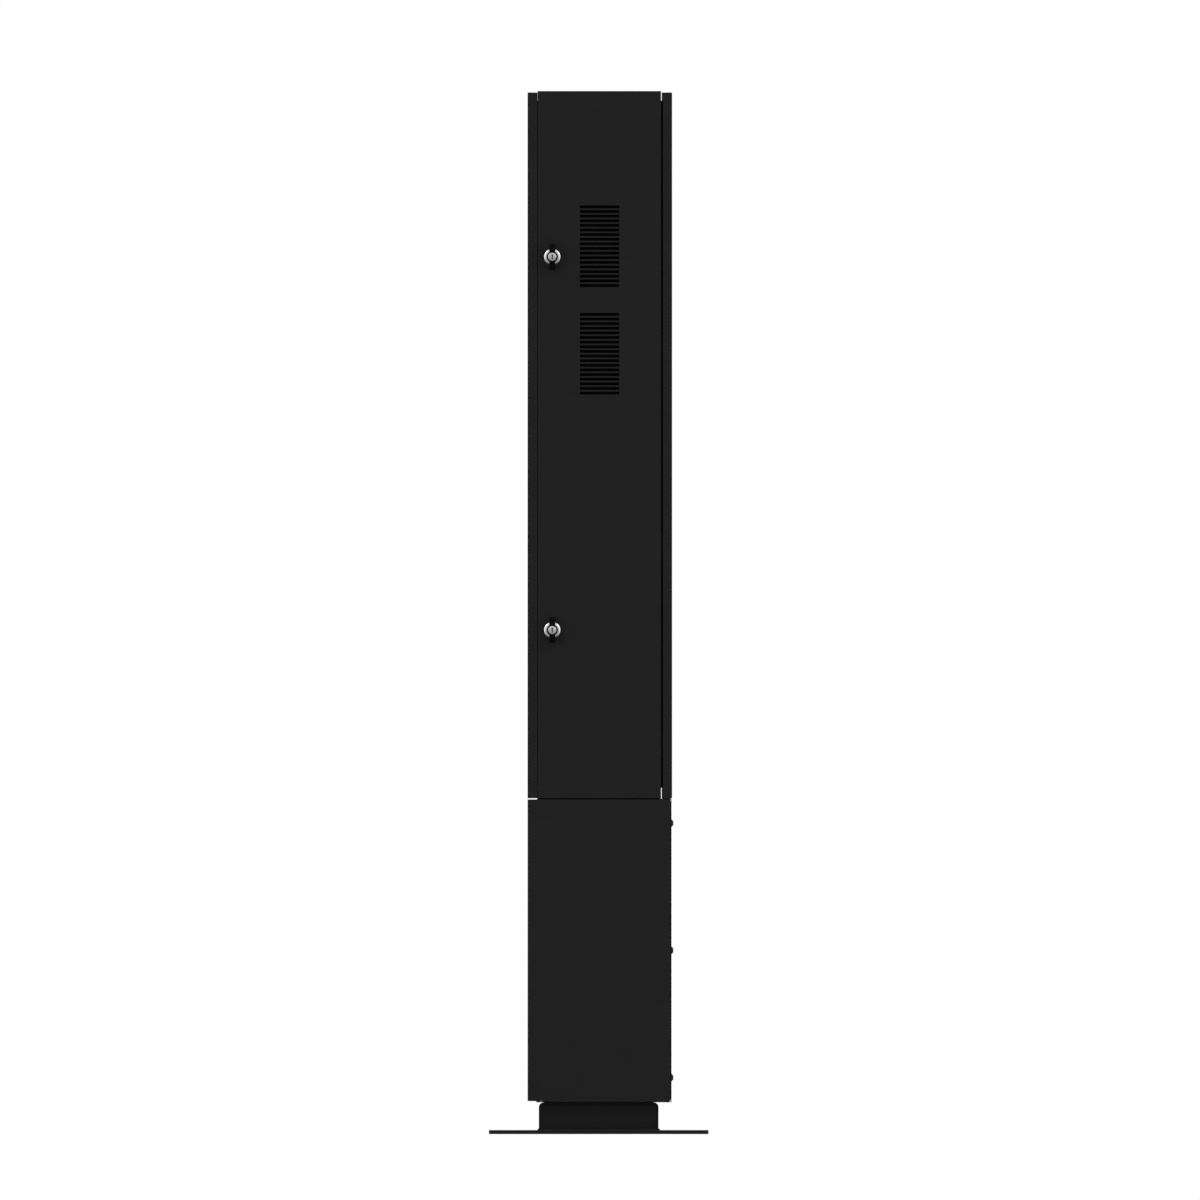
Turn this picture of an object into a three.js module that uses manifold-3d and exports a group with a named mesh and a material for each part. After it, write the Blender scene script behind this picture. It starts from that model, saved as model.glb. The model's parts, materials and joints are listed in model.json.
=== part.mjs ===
// Slim sheet-steel locker cabinet: one tall vented door with two wing-knob cam
// locks, a recessed carcass between two side panels, a pedestal with a screwed
// access panel, and a bolted-down foot plate on a folded plinth.
//
// Millimetres. X runs right, Y runs to the back and Z runs up. The origin is
// the middle of the foot plate's underside. The door is shut and the knobs
// stand upright, which is their unlocked position.

import * as THREE from 'three';
import { mergeVertices } from 'three/addons/utils/BufferGeometryUtils.js';
import Module from 'manifold-3d';

const wasm = await Module();
wasm.setup();

// ---------------------------------------------------------------- dimensions

const FIT = 0.3; // air between neighbouring pieces
const THIN_SHEET = 1.2;
const SHEET = 1.5;
const HEAVY_SHEET = 2;
const BEND_RADIUS = 1.5; // inside radius of a fold

// Heights above the floor.
const PLATE_TOP = 7;
const PLINTH_TOP = 55;
const PEDESTAL_BOTTOM = 57;
const PEDESTAL_TOP = 579;
const BODY_BOTTOM = 581;
const CARCASS_BOTTOM = 599;
const CARCASS_TOP = 1788;
const PANEL_TOP = 1802;
const DOOR_TOP = 1804.5;

// The body's outer faces. It stands 2 mm to the right of the plate's middle.
const LEFT = -123;
const RIGHT = 127;
const FRONT = -225;
const BACK = 225;

// Foot plate, plinth and cable way.
const PLATE_HALF_WIDTH = 190;
const PLATE_HALF_DEPTH = 250;
const PLATE_CORNER_RADIUS = 4;
const ANCHOR_X = 160;
const ANCHOR_Y = 210;
const ANCHOR_RADIUS = 6;
const PLINTH_HALF_WIDTH = 103.5;
const PLINTH_HALF_DEPTH = 200;
const PLINTH_SHEET = 3;
const PLINTH_BEND_RADIUS = 5;
const PLINTH_END_INSET = 1.5;
const CABLE_Y = 120;
const CABLE_RADIUS = 30;

// Pedestal and its access panel.
const PEDESTAL_RIGHT = 124.2;
const RETURN_FLANGE = 20;
const TRAY_FLANGE = 16;
const PANEL_INNER_X = PEDESTAL_RIGHT + FIT;
const PANEL_OUTER_X = PANEL_INNER_X + SHEET;
const HOOK_REACH = 18;
const SCREW_HEIGHTS = [98, 318, 538];
const SCREW_Y = 213;
const SCREW_RADIUS = 3;
const SCREW_LENGTH = 14;
const SCREW_HEAD_RADIUS = 6.5;
const SCREW_HEAD_HEIGHT = 3.3;
const HEX_RADIUS = 2.3;
const HEX_DEPTH = 1.8;

// Carcass: the inner box, held back from the door and clear of the panels.
const DOOR_LEFT = -105.5;
const DOOR_RIGHT = 107.9;
const LEFT_PANEL_INNER_X = -106.3;
const RIGHT_PANEL_INNER_X = 111.2;
const CARCASS_LEFT = LEFT_PANEL_INNER_X + FIT;
const CARCASS_RIGHT = RIGHT_PANEL_INNER_X - FIT;
const CARCASS_BACK = 222.2;
const SURROUND_FRONT = -201;
const SURROUND_BACK = -199.1;
const OPENING_X = [-92, 97];
const OPENING_Z = [613, 1774];
const CARCASS_LIP = 12;
const SHELF_TOPS = [897, 1193, 1490];
const SHELF_LIP = 20;
const UPRIGHT_Y = 150;
const UPRIGHT_DEPTH = 20;
const UPRIGHT_THICKNESS = 3;

// Door.
const SKIN_BACK = FRONT + HEAVY_SHEET;
const FRAME_BACK = -204;
const FRAME_X = [-102.5, 104];
const FRAME_Z = [603, 1784];
const FRAME_RAIL = 9.5;
const GASKET_RAIL = 7;
const VENT_X = 1.4;
const VENT_HEIGHTS = { lower: 1350, upper: 1536 };
const SLOTS = 18;
const SLOT_PITCH = 8;
const SLOT_LENGTH = 68;
const SLOT_HEIGHT = 4.9;
const FILTER_HALF_WIDTH = 38;
const FILTER_HALF_HEIGHT = 75;
const FILTER_WALL = 4;
const FILTER_BACK = -211;
const FILTER_THICKNESS = 4;

// Hinges: a gooseneck arm on the door turns on a pin behind the right panel.
const HINGE_X = 120;
const HINGE_Y = -217.5;
const HINGE_HEIGHTS = [673, 1019.5, 1366, 1712.5];
const HINGE_HALF_HEIGHT = 25;
const KNUCKLE_SPLIT = 12;
const KNUCKLE_RADIUS = 3.75;
const HINGE_SHEET = 2.5;
const PIN_RADIUS = 2;

// Locks: a wing knob turns a shaft and a cam, and a key plug locks the knob.
const LOCK_X = -80.3;
const LOCK_HEIGHTS = { lower: 872, upper: 1517.7 };
const ROSETTE_RADIUS = 14.75;
const HOUSING_RADIUS = 10.7;
const BOSS_RADIUS = 9;
const SHAFT_RADIUS = 6.9;
const PLUG_RADIUS = 7.1;
const WING_HALF_LENGTH = 22.5;
const TENON_HALF_WIDTH = 3.5;

// ------------------------------------------------------------------ finishes

function finish(color, roughness, metalness) {
  return new THREE.MeshStandardMaterial({ color, roughness, metalness, flatShading: true });
}

const POWDER_COAT = finish('#212121', 0.6, 0.2);
const CHROME = finish('#d8dadc', 0.15, 1);
const ZINC = finish('#a9abab', 0.4, 1);
const BLACK_METAL = finish('#0b0b0b', 0.35, 0.3);
const RUBBER = finish('#101010', 0.85, 0);
const FILTER_FOAM = finish('#161616', 0.95, 0);

// -------------------------------------------------------------- solid makers

const QUARTER_TURN = Math.PI / 2;
const ROUND_SEGMENTS = 12; // half the sides of a drilled or turned circle
const BEND_SEGMENTS = 4; // half the facets of a fold

function solid(geometry) {
  const bare = geometry.clone();
  bare.deleteAttribute('normal');
  bare.deleteAttribute('uv');
  const merged = mergeVertices(bare);
  const index = merged.index.array;
  const corners = [];
  for (let i = 0; i < index.length; i += 3) {
    const triangle = [index[i], index[i + 1], index[i + 2]];
    if (new Set(triangle).size === 3) {
      corners.push(...triangle);
    }
  }
  return new wasm.Manifold(new wasm.Mesh({
    numProp: 3,
    vertProperties: merged.attributes.position.array,
    triVerts: Uint32Array.from(corners)
  }));
}

function block(xs, ys, zs) {
  const ranges = [xs, ys, zs];
  const size = ranges.map(([low, high]) => high - low);
  const middle = ranges.map(([low, high]) => (low + high) / 2);
  return solid(new THREE.BoxGeometry(...size).translate(...middle));
}

function extruded([from, to], outline, segments) {
  const options = { depth: to - from, bevelEnabled: false, curveSegments: segments };
  return new THREE.ExtrudeGeometry(outline, options).translate(0, 0, from);
}

// An outline in X and Y, drawn out along Z.
function alongZ(range, outline, segments = ROUND_SEGMENTS) {
  return solid(extruded(range, outline, segments));
}

// An outline in Y and Z, drawn out along X.
function alongX(range, outline, segments = ROUND_SEGMENTS) {
  const turn = new THREE.Matrix4().set(0, 0, 1, 0, 1, 0, 0, 0, 0, 1, 0, 0, 0, 0, 0, 1);
  return solid(extruded(range, outline, segments).applyMatrix4(turn));
}

// An outline in X and Z, drawn out along Y.
function alongY([from, to], outline, segments = ROUND_SEGMENTS) {
  return solid(extruded([-to, -from], outline, segments).rotateX(QUARTER_TURN));
}

function circle(u, v, radius) {
  return new THREE.Shape().absarc(u, v, radius, 0, 4 * QUARTER_TURN, false);
}

// A profile of [radius, height] points, turned about Y. It runs from foot to
// top up its outer side.
function turnedAboutY(profile) {
  const points = profile.map(([radius, height]) => new THREE.Vector2(radius, height));
  return solid(new THREE.LatheGeometry(points, 2 * ROUND_SEGMENTS));
}

function turnedAboutX(profile) {
  return turnedAboutY(profile).rotate([0, 0, -90]);
}

function turnedAboutZ(profile) {
  return turnedAboutY(profile).rotate([90, 0, 0]);
}

// Adds the right-hand edge of a folded sheet to an outline. The points are the
// corners of the sheet's middle line, walked in order.
function traceSide(outline, points, halfThickness, bendRadius) {
  const heading = (i) => points[i + 1].clone().sub(points[i]).normalize();
  const rightOf = (direction) => new THREE.Vector2(direction.y, -direction.x);
  const last = points.length - 1;
  const start = rightOf(heading(0)).multiplyScalar(halfThickness).add(points[0]);
  outline.lineTo(start.x, start.y);
  for (let i = 1; i < last; i += 1) {
    const before = heading(i - 1);
    const after = heading(i);
    const side = Math.sign(before.cross(after)); // 1 where the sheet turns left
    const turn = Math.acos(before.dot(after));
    const tangent = bendRadius * Math.tan(turn / 2);
    const entry = points[i].clone().addScaledVector(before, -tangent);
    const centre = entry.addScaledVector(rightOf(before), -side * bendRadius);
    const radius = bendRadius + side * halfThickness;
    const startAngle = rightOf(before).multiplyScalar(side).angle();
    const endAngle = rightOf(after).multiplyScalar(side).angle();
    outline.absarc(centre.x, centre.y, radius, startAngle, endAngle, side < 0);
  }
  const end = rightOf(heading(last - 1)).multiplyScalar(halfThickness).add(points[last]);
  outline.lineTo(end.x, end.y);
}

// The section of a sheet folded at each of the given middle-line corners.
function foldedSheet(corners, thickness, insideRadius = BEND_RADIUS) {
  const points = corners.map(([u, v]) => new THREE.Vector2(u, v));
  const half = thickness / 2;
  const first = points[1].clone().sub(points[0]).normalize();
  const outline = new THREE.Shape();
  outline.moveTo(points[0].x - first.y * half, points[0].y + first.x * half);
  traceSide(outline, points, half, insideRadius + half);
  traceSide(outline, points.slice().reverse(), half, insideRadius + half);
  return outline;
}

function inset([low, high], amount) {
  return [low + amount, high - amount];
}

// A block whose four upright edges are rounded.
function roundedBlock(xs, ys, zs, radius) {
  const [left, right] = inset(xs, radius);
  const [front, back] = inset(ys, radius);
  const outline = new THREE.Shape();
  outline.absarc(right, back, radius, 0, QUARTER_TURN, false);
  outline.absarc(left, back, radius, QUARTER_TURN, 2 * QUARTER_TURN, false);
  outline.absarc(left, front, radius, 2 * QUARTER_TURN, 3 * QUARTER_TURN, false);
  outline.absarc(right, front, radius, 3 * QUARTER_TURN, 4 * QUARTER_TURN, false);
  return alongZ(zs, outline, BEND_SEGMENTS);
}

// A rectangular frame in the X-Z plane.
function ringPlate(xs, ys, zs, rail) {
  return block(xs, ys, zs).subtract(block(inset(xs, rail), inset(ys, -1), inset(zs, rail)));
}

function cableHole(zs) {
  return alongZ(inset(zs, -1), circle(0, CABLE_Y, CABLE_RADIUS));
}

const cabinet = new THREE.Group();

function piece(name, body, material, parent = cabinet) {
  const { vertProperties, triVerts } = body.getMesh();
  const geometry = new THREE.BufferGeometry();
  geometry.setAttribute('position', new THREE.BufferAttribute(vertProperties, 3));
  geometry.setIndex(new THREE.BufferAttribute(triVerts, 1));
  geometry.computeVertexNormals();
  const mesh = new THREE.Mesh(geometry, material.clone());
  mesh.name = name;
  parent.add(mesh);
}

function groupAt(x, y, z) {
  const group = new THREE.Group();
  group.position.set(x, y, z);
  cabinet.add(group);
  return group;
}

// ------------------------------------------------------ foot plate and plinth

function makeFootPlate() {
  const xs = [-PLATE_HALF_WIDTH, PLATE_HALF_WIDTH];
  const ys = [-PLATE_HALF_DEPTH, PLATE_HALF_DEPTH];
  const thickness = [0, PLATE_TOP];
  let plate = roundedBlock(xs, ys, thickness, PLATE_CORNER_RADIUS).subtract(cableHole(thickness));
  for (const x of [-ANCHOR_X, ANCHOR_X]) {
    for (const y of [-ANCHOR_Y, ANCHOR_Y]) {
      plate = plate.subtract(alongZ([-1, PLATE_TOP + 1], circle(x, y, ANCHOR_RADIUS)));
    }
  }
  piece('base_plate', plate, POWDER_COAT);
}

function makePlinth() {
  const foot = PLATE_TOP + FIT;
  const top = PLINTH_TOP - FIT;
  const wallX = PLINTH_HALF_WIDTH - PLINTH_SHEET / 2;
  const topZ = top - PLINTH_SHEET / 2;
  const corners = [[-wallX, foot], [-wallX, topZ], [wallX, topZ], [wallX, foot]];
  const section = foldedSheet(corners, PLINTH_SHEET, PLINTH_BEND_RADIUS);
  const depth = [-PLINTH_HALF_DEPTH, PLINTH_HALF_DEPTH];
  const channel = alongY(depth, section).subtract(cableHole([topZ - PLINTH_SHEET, top]));
  piece('plinth_channel', channel, POWDER_COAT);

  const halfWidth = PLINTH_HALF_WIDTH - PLINTH_SHEET - FIT;
  const endTop = top - PLINTH_SHEET - FIT;
  const arcX = halfWidth - PLINTH_BEND_RADIUS;
  const arcZ = endTop - PLINTH_BEND_RADIUS;
  const outline = new THREE.Shape();
  outline.moveTo(-halfWidth, foot);
  outline.lineTo(halfWidth, foot);
  outline.absarc(arcX, arcZ, PLINTH_BEND_RADIUS, 0, QUARTER_TURN, false);
  outline.absarc(-arcX, arcZ, PLINTH_BEND_RADIUS, QUARTER_TURN, 2 * QUARTER_TURN, false);
  const outer = PLINTH_HALF_DEPTH - PLINTH_END_INSET;
  const inner = outer - PLINTH_SHEET;
  piece('plinth_end_front', alongY([-outer, -inner], outline), POWDER_COAT);
  piece('plinth_end_rear', alongY([inner, outer], outline), POWDER_COAT);
}

// ------------------------------------------------------------------- pedestal

const PEDESTAL_WALL_X = PEDESTAL_RIGHT - HEAVY_SHEET / 2;

function screwHoles(xs) {
  let holes = null;
  for (const y of [-SCREW_Y, SCREW_Y]) {
    for (const z of SCREW_HEIGHTS) {
      const hole = alongX(xs, circle(y, z, SCREW_RADIUS + FIT));
      holes = holes ? holes.add(hole) : hole;
    }
  }
  return holes;
}

function makePedestal() {
  const floorZ = [PLINTH_TOP, PEDESTAL_BOTTOM];
  const floor = block([-108, PEDESTAL_RIGHT - FIT], [-215, 215], floorZ);
  piece('pedestal_floor', floor.subtract(cableHole(floorZ)), POWDER_COAT);

  const wallLeft = LEFT + HEAVY_SHEET / 2;
  const wallY = BACK - HEAVY_SHEET / 2;
  const flangeY = BACK - RETURN_FLANGE;
  const corners = [
    [PEDESTAL_WALL_X, -flangeY],
    [PEDESTAL_WALL_X, -wallY],
    [wallLeft, -wallY],
    [wallLeft, wallY],
    [PEDESTAL_WALL_X, wallY],
    [PEDESTAL_WALL_X, flangeY]
  ];
  const section = foldedSheet(corners, HEAVY_SHEET);
  const shell = alongZ([PEDESTAL_BOTTOM + FIT, PEDESTAL_TOP], section, BEND_SEGMENTS);
  const holes = screwHoles([PEDESTAL_RIGHT - 2 * HEAVY_SHEET, PEDESTAL_RIGHT + 1]);
  piece('pedestal_shell', shell.subtract(holes), POWDER_COAT);

  const clear = HEAVY_SHEET + FIT;
  const trayX = [LEFT + clear, PEDESTAL_RIGHT - clear];
  const trayY = inset([FRONT, BACK], clear);
  const trayZ = [PEDESTAL_TOP - HEAVY_SHEET - TRAY_FLANGE, PEDESTAL_TOP];
  const hollowZ = [trayZ[0] - 1, PEDESTAL_TOP - HEAVY_SHEET];
  const hollow = block(inset(trayX, HEAVY_SHEET), inset(trayY, HEAVY_SHEET), hollowZ);
  const tray = roundedBlock(trayX, trayY, trayZ, BEND_RADIUS).subtract(hollow);
  piece('pedestal_top', tray.subtract(cableHole(trayZ)), POWDER_COAT);
}

function makeAccessPanel() {
  const sheetX = PANEL_INNER_X + SHEET / 2;
  const hookZ = PEDESTAL_TOP + FIT + SHEET / 2;
  const outline = foldedSheet([
    [sheetX, PLINTH_TOP],
    [sheetX, hookZ],
    [PANEL_OUTER_X - HOOK_REACH, hookZ]
  ], SHEET, FIT);
  const panel = alongY(inset([FRONT, BACK], 0.5), outline, BEND_SEGMENTS);
  const holes = screwHoles([PANEL_INNER_X - 1, PANEL_OUTER_X + 1]);
  piece('access_panel', panel.subtract(holes), POWDER_COAT);
}

// Flanged button-head screw with a hexagon socket, its head facing right.
function screwBody() {
  const profile = [
    [0, -SCREW_LENGTH],
    [SCREW_RADIUS - 0.5, -SCREW_LENGTH],
    [SCREW_RADIUS, -SCREW_LENGTH + 0.5],
    [SCREW_RADIUS, 0],
    [SCREW_HEAD_RADIUS, 0],
    [SCREW_HEAD_RADIUS, 0.8],
    [5.4, 1.2],
    [4.9, 2],
    [4.1, 2.8],
    [3, SCREW_HEAD_HEIGHT],
    [0, SCREW_HEAD_HEIGHT]
  ];
  const socketX = [SCREW_HEAD_HEIGHT - HEX_DEPTH, SCREW_HEAD_HEIGHT + 1];
  const hexagon = alongX(socketX, circle(0, 0, HEX_RADIUS), 3);
  return turnedAboutX(profile).subtract(hexagon);
}

function makeAccessScrews() {
  let number = 1;
  for (const y of [-SCREW_Y, SCREW_Y]) {
    for (const z of SCREW_HEIGHTS) {
      const seat = groupAt(PANEL_OUTER_X + FIT, y, z);
      piece(`access_screw_${number}`, screwBody(), BLACK_METAL, seat);
      number += 1;
    }
  }
}

// -------------------------------------------------------------------- carcass

function makeNeck() {
  const xs = [CARCASS_LEFT, DOOR_RIGHT - FIT];
  const ys = [-200, 200];
  const zs = [PEDESTAL_TOP + FIT, CARCASS_BOTTOM - FIT];
  const wall = 3;
  const hollow = block(inset(xs, wall), inset(ys, wall), inset(zs, -1));
  piece('neck_frame', block(xs, ys, zs).subtract(hollow), POWDER_COAT);
}

function carcassTray(plateZ, lipZ) {
  const clear = SHEET + FIT;
  const xs = [CARCASS_LEFT + clear, CARCASS_RIGHT - clear];
  const ys = [SURROUND_BACK + FIT, CARCASS_BACK - clear];
  const zs = [Math.min(...plateZ, ...lipZ), Math.max(...plateZ, ...lipZ)];
  const hollow = block(inset(xs, SHEET), inset(ys, SHEET), lipZ);
  return roundedBlock(xs, ys, zs, BEND_RADIUS).subtract(hollow);
}

function makeCarcass() {
  const half = SHEET / 2;
  const frontY = SURROUND_BACK + FIT;
  const section = foldedSheet([
    [CARCASS_LEFT + half, frontY],
    [CARCASS_LEFT + half, CARCASS_BACK - half],
    [CARCASS_RIGHT - half, CARCASS_BACK - half],
    [CARCASS_RIGHT - half, frontY]
  ], SHEET);
  piece('carcass_wrap', alongZ([CARCASS_BOTTOM, CARCASS_TOP], section, BEND_SEGMENTS), POWDER_COAT);

  const roofZ = [CARCASS_TOP - SHEET, CARCASS_TOP];
  const roof = carcassTray(roofZ, [roofZ[0] - CARCASS_LIP, roofZ[0]]);
  piece('carcass_top', roof, POWDER_COAT);

  const floorZ = [CARCASS_BOTTOM, CARCASS_BOTTOM + SHEET];
  const floor = carcassTray(floorZ, [floorZ[1], floorZ[1] + CARCASS_LIP]);
  piece('carcass_floor', floor.subtract(cableHole(floorZ)), POWDER_COAT);

  const surround = block(
    [CARCASS_LEFT, CARCASS_RIGHT],
    [SURROUND_FRONT, SURROUND_BACK],
    [CARCASS_BOTTOM, CARCASS_TOP]
  ).subtract(block(OPENING_X, [SURROUND_FRONT - 1, SURROUND_BACK + 1], OPENING_Z));
  piece('door_surround', surround, POWDER_COAT);
}

// Rubber ring snapped into the carcass floor's cable hole.
function makeGrommet() {
  const bore = 26;
  const lip = 34;
  const groove = CABLE_RADIUS - FIT;
  const profile = [
    [bore, -2],
    [lip - 1, -2],
    [lip, -FIT],
    [groove, -FIT],
    [groove, SHEET + FIT],
    [lip, SHEET + FIT],
    [lip - 1, SHEET + 2],
    [bore, SHEET + 2],
    [bore, -2]
  ];
  piece('cable_grommet', turnedAboutZ(profile), RUBBER, groupAt(0, CABLE_Y, CARCASS_BOTTOM));
}

// A side panel is a shallow pan that opens towards the carcass. Its rear flange
// reaches a little behind the carcass.
function sidePanel(xs, hollowX, flangeX) {
  const ys = [FRONT, BACK];
  const zs = [BODY_BOTTOM, PANEL_TOP];
  const hollow = block(hollowX, inset(ys, SHEET), inset(zs, SHEET));
  return block(xs, ys, zs).subtract(hollow).add(block(flangeX, [BACK - SHEET, BACK], zs));
}

function makeOuterPanels() {
  const rearLeft = DOOR_LEFT + 0.1;
  const leftX = [LEFT, LEFT_PANEL_INNER_X];
  const leftHollow = [LEFT + SHEET, LEFT_PANEL_INNER_X + 1];
  const leftFlange = [LEFT_PANEL_INNER_X - 1, rearLeft - FIT];
  piece('side_panel_left', sidePanel(leftX, leftHollow, leftFlange), POWDER_COAT);
  const rightX = [RIGHT_PANEL_INNER_X, RIGHT];
  const rightHollow = [RIGHT_PANEL_INNER_X - 1, RIGHT - SHEET];
  const rightFlange = [DOOR_RIGHT + 1.2, RIGHT_PANEL_INNER_X + 1];
  piece('side_panel_right', sidePanel(rightX, rightHollow, rightFlange), POWDER_COAT);
  const rear = block([rearLeft, DOOR_RIGHT], [BACK - HEAVY_SHEET, BACK], [BODY_BOTTOM, PANEL_TOP]);
  piece('rear_panel', rear, POWDER_COAT);
}

const UPRIGHT_LEFT = CARCASS_LEFT + SHEET + FIT;
const UPRIGHT_RIGHT = CARCASS_RIGHT - SHEET - FIT;

function makeShelving() {
  const leftX = [UPRIGHT_LEFT, UPRIGHT_LEFT + UPRIGHT_THICKNESS];
  const rightX = [UPRIGHT_RIGHT - UPRIGHT_THICKNESS, UPRIGHT_RIGHT];
  const uprightZ = inset(OPENING_Z, -0.5);
  for (const [side, xs] of [['left', leftX], ['right', rightX]]) {
    for (const [place, y] of [['front', -UPRIGHT_Y], ['rear', UPRIGHT_Y]]) {
      const ys = inset([y, y], -UPRIGHT_DEPTH / 2);
      piece(`shelf_upright_${side}_${place}`, block(xs, ys, uprightZ), POWDER_COAT);
    }
  }
  const xs = [leftX[1] + FIT, rightX[0] - FIT];
  const ys = [-188, 216];
  SHELF_TOPS.forEach((top, i) => {
    const hollowZ = [top - SHELF_LIP - 1, top - THIN_SHEET];
    const hollow = block(inset(xs, THIN_SHEET), inset(ys, THIN_SHEET), hollowZ);
    const shelf = block(xs, ys, [top - SHELF_LIP, top]).subtract(hollow);
    piece(`shelf_${i + 1}`, shelf, POWDER_COAT);
  });
}

// ----------------------------------------------------------------------- door

function makeDoorSkin() {
  let skin = block([DOOR_LEFT, DOOR_RIGHT], [FRONT, SKIN_BACK], [BODY_BOTTOM, DOOR_TOP]);
  const through = [FRONT - 1, SKIN_BACK + 1];
  const slotX = inset([VENT_X, VENT_X], -SLOT_LENGTH / 2);
  for (const middle of Object.values(VENT_HEIGHTS)) {
    for (let i = 0; i < SLOTS; i += 1) {
      const z = middle + (i - (SLOTS - 1) / 2) * SLOT_PITCH;
      skin = skin.subtract(block(slotX, through, inset([z, z], -SLOT_HEIGHT / 2)));
    }
  }
  for (const z of Object.values(LOCK_HEIGHTS)) {
    skin = skin.subtract(alongY(through, circle(LOCK_X, z, HOUSING_RADIUS + FIT)));
  }
  piece('door_skin', skin, POWDER_COAT);
}

// The stiffening frame is a U section whose open side is closed by the skin.
function makeDoorFrame() {
  const ys = [SKIN_BACK + FIT, FRAME_BACK];
  const frame = ringPlate(FRAME_X, ys, FRAME_Z, FRAME_RAIL);
  const hollowY = [ys[0] - 1, ys[1] - SHEET];
  const hollowRail = FRAME_RAIL - 2 * SHEET;
  const hollowX = inset(FRAME_X, SHEET);
  const hollow = ringPlate(hollowX, hollowY, inset(FRAME_Z, SHEET), hollowRail);
  piece('door_inner_frame', frame.subtract(hollow), POWDER_COAT);

  const gasketY = [FRAME_BACK + FIT, SURROUND_FRONT - FIT];
  const gasket = ringPlate(inset(FRAME_X, 1), gasketY, inset(FRAME_Z, 1), GASKET_RAIL);
  piece('door_gasket', gasket, RUBBER);
}

// A cassette behind each group of slots holds a filter mat against its rear lip.
function makeVents() {
  for (const [name, z] of Object.entries(VENT_HEIGHTS)) {
    const xs = inset([VENT_X, VENT_X], -FILTER_HALF_WIDTH);
    const zs = inset([z, z], -FILTER_HALF_HEIGHT);
    const frontY = SKIN_BACK + FIT;
    const lipY = FILTER_BACK - SHEET;
    const outer = block(inset(xs, -FILTER_WALL), [frontY, FILTER_BACK], inset(zs, -FILTER_WALL));
    const pocket = block(xs, [frontY - 1, lipY], zs);
    const mouth = block(inset(xs, FILTER_WALL), [lipY - 1, FILTER_BACK + 1], inset(zs, FILTER_WALL));
    piece(`vent_frame_${name}`, outer.subtract(pocket).subtract(mouth), POWDER_COAT);

    const matY = [lipY - FIT - FILTER_THICKNESS, lipY - FIT];
    piece(`filter_mat_${name}`, block(inset(xs, FIT), matY, inset(zs, FIT)), FILTER_FOAM);
  }
}

// --------------------------------------------------------------------- hinges

// All hinge shapes are about the pin, with u to the right and v to the back.
const ARM_TAB_U = -15.7;
const ARM_WEB_V = 15;
const BRACKET_WEB_V = 19;
const BRACKET_WALL_U = -8.75;
const BRACKET_PLATE_U = 5.25;
const BRACKET_DEPTH = 41;

function knuckle(zs) {
  return alongZ(zs, circle(0, 0, KNUCKLE_RADIUS));
}

function makeHinge(number, height) {
  const hinge = groupAt(HINGE_X, HINGE_Y, height);
  const whole = [-HINGE_HALF_HEIGHT, HINGE_HALF_HEIGHT];
  const middle = [-KNUCKLE_SPLIT, KNUCKLE_SPLIT];
  const armZ = inset(middle, FIT / 2);
  const bore = alongZ(inset(whole, -1), circle(0, 0, PIN_RADIUS + FIT));

  const halfSheet = HINGE_SHEET / 2;
  const webV = [ARM_WEB_V - HINGE_SHEET, ARM_WEB_V];
  const arm = knuckle(armZ)
    .add(block([-halfSheet, halfSheet], [3, ARM_WEB_V], armZ))
    .add(block([ARM_TAB_U, halfSheet], webV, whole))
    .add(block([ARM_TAB_U, ARM_TAB_U + HINGE_SHEET], [-2, ARM_WEB_V], whole))
    .subtract(bore);
  piece(`hinge_arm_${number}`, arm, ZINC, hinge);

  const plateU = [BRACKET_PLATE_U - HINGE_SHEET, BRACKET_PLATE_U];
  const bracketWebV = [BRACKET_WEB_V - HINGE_SHEET, BRACKET_WEB_V];
  const wallU = [BRACKET_WALL_U, BRACKET_WALL_U + HINGE_SHEET];
  const bracket = knuckle(whole)
    .add(block(plateU, [0, BRACKET_WEB_V], whole))
    .add(block([BRACKET_WALL_U, BRACKET_PLATE_U], bracketWebV, whole))
    .add(block(wallU, [bracketWebV[0], BRACKET_DEPTH], whole))
    .subtract(alongZ(inset(middle, -FIT / 2), circle(0, 0, KNUCKLE_RADIUS + FIT)))
    .subtract(bore);
  piece(`hinge_bracket_${number}`, bracket, ZINC, hinge);

  const end = HINGE_HALF_HEIGHT + FIT;
  const pin = turnedAboutZ([
    [0, -end - 1],
    [PIN_RADIUS, -end - 1],
    [PIN_RADIUS, end],
    [PIN_RADIUS + 1, end],
    [PIN_RADIUS + 1, end + 1],
    [PIN_RADIUS, end + 1.5],
    [0, end + 1.5]
  ]);
  piece(`hinge_pin_${number}`, pin, ZINC, hinge);
}

// ---------------------------------------------------------------------- locks

// Depths of the lock, from the door's front face towards the back.
const ROSETTE_DEPTH = [-4, -FIT];
const HOUSING_DEPTH = [0, 17.5];
const BOSS_FRONT = -20;
const WING_DEPTH = [-18, -7];
const PLUG_DEPTH = [BOSS_FRONT + 0.4, -7.4];
const SHAFT_END = 26.4;
const CAM_DEPTH = [SHAFT_END + FIT, SHAFT_END + FIT + 3];
const TENON_END = CAM_DEPTH[1] - 0.2;

function wingOutline() {
  const waist = 4.5;
  const tip = 6.5;
  const sagitta = 2;
  const arcRadius = (tip * tip + sagitta * sagitta) / (2 * sagitta);
  const arcZ = WING_HALF_LENGTH - arcRadius;
  const spread = Math.asin(tip / arcRadius);
  const outline = new THREE.Shape();
  outline.moveTo(-waist, 0);
  outline.lineTo(-tip, sagitta - WING_HALF_LENGTH);
  outline.absarc(0, -arcZ, arcRadius, -QUARTER_TURN - spread, -QUARTER_TURN + spread, false);
  outline.lineTo(waist, 0);
  outline.absarc(0, arcZ, arcRadius, QUARTER_TURN - spread, QUARTER_TURN + spread, false);
  return outline;
}

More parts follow.
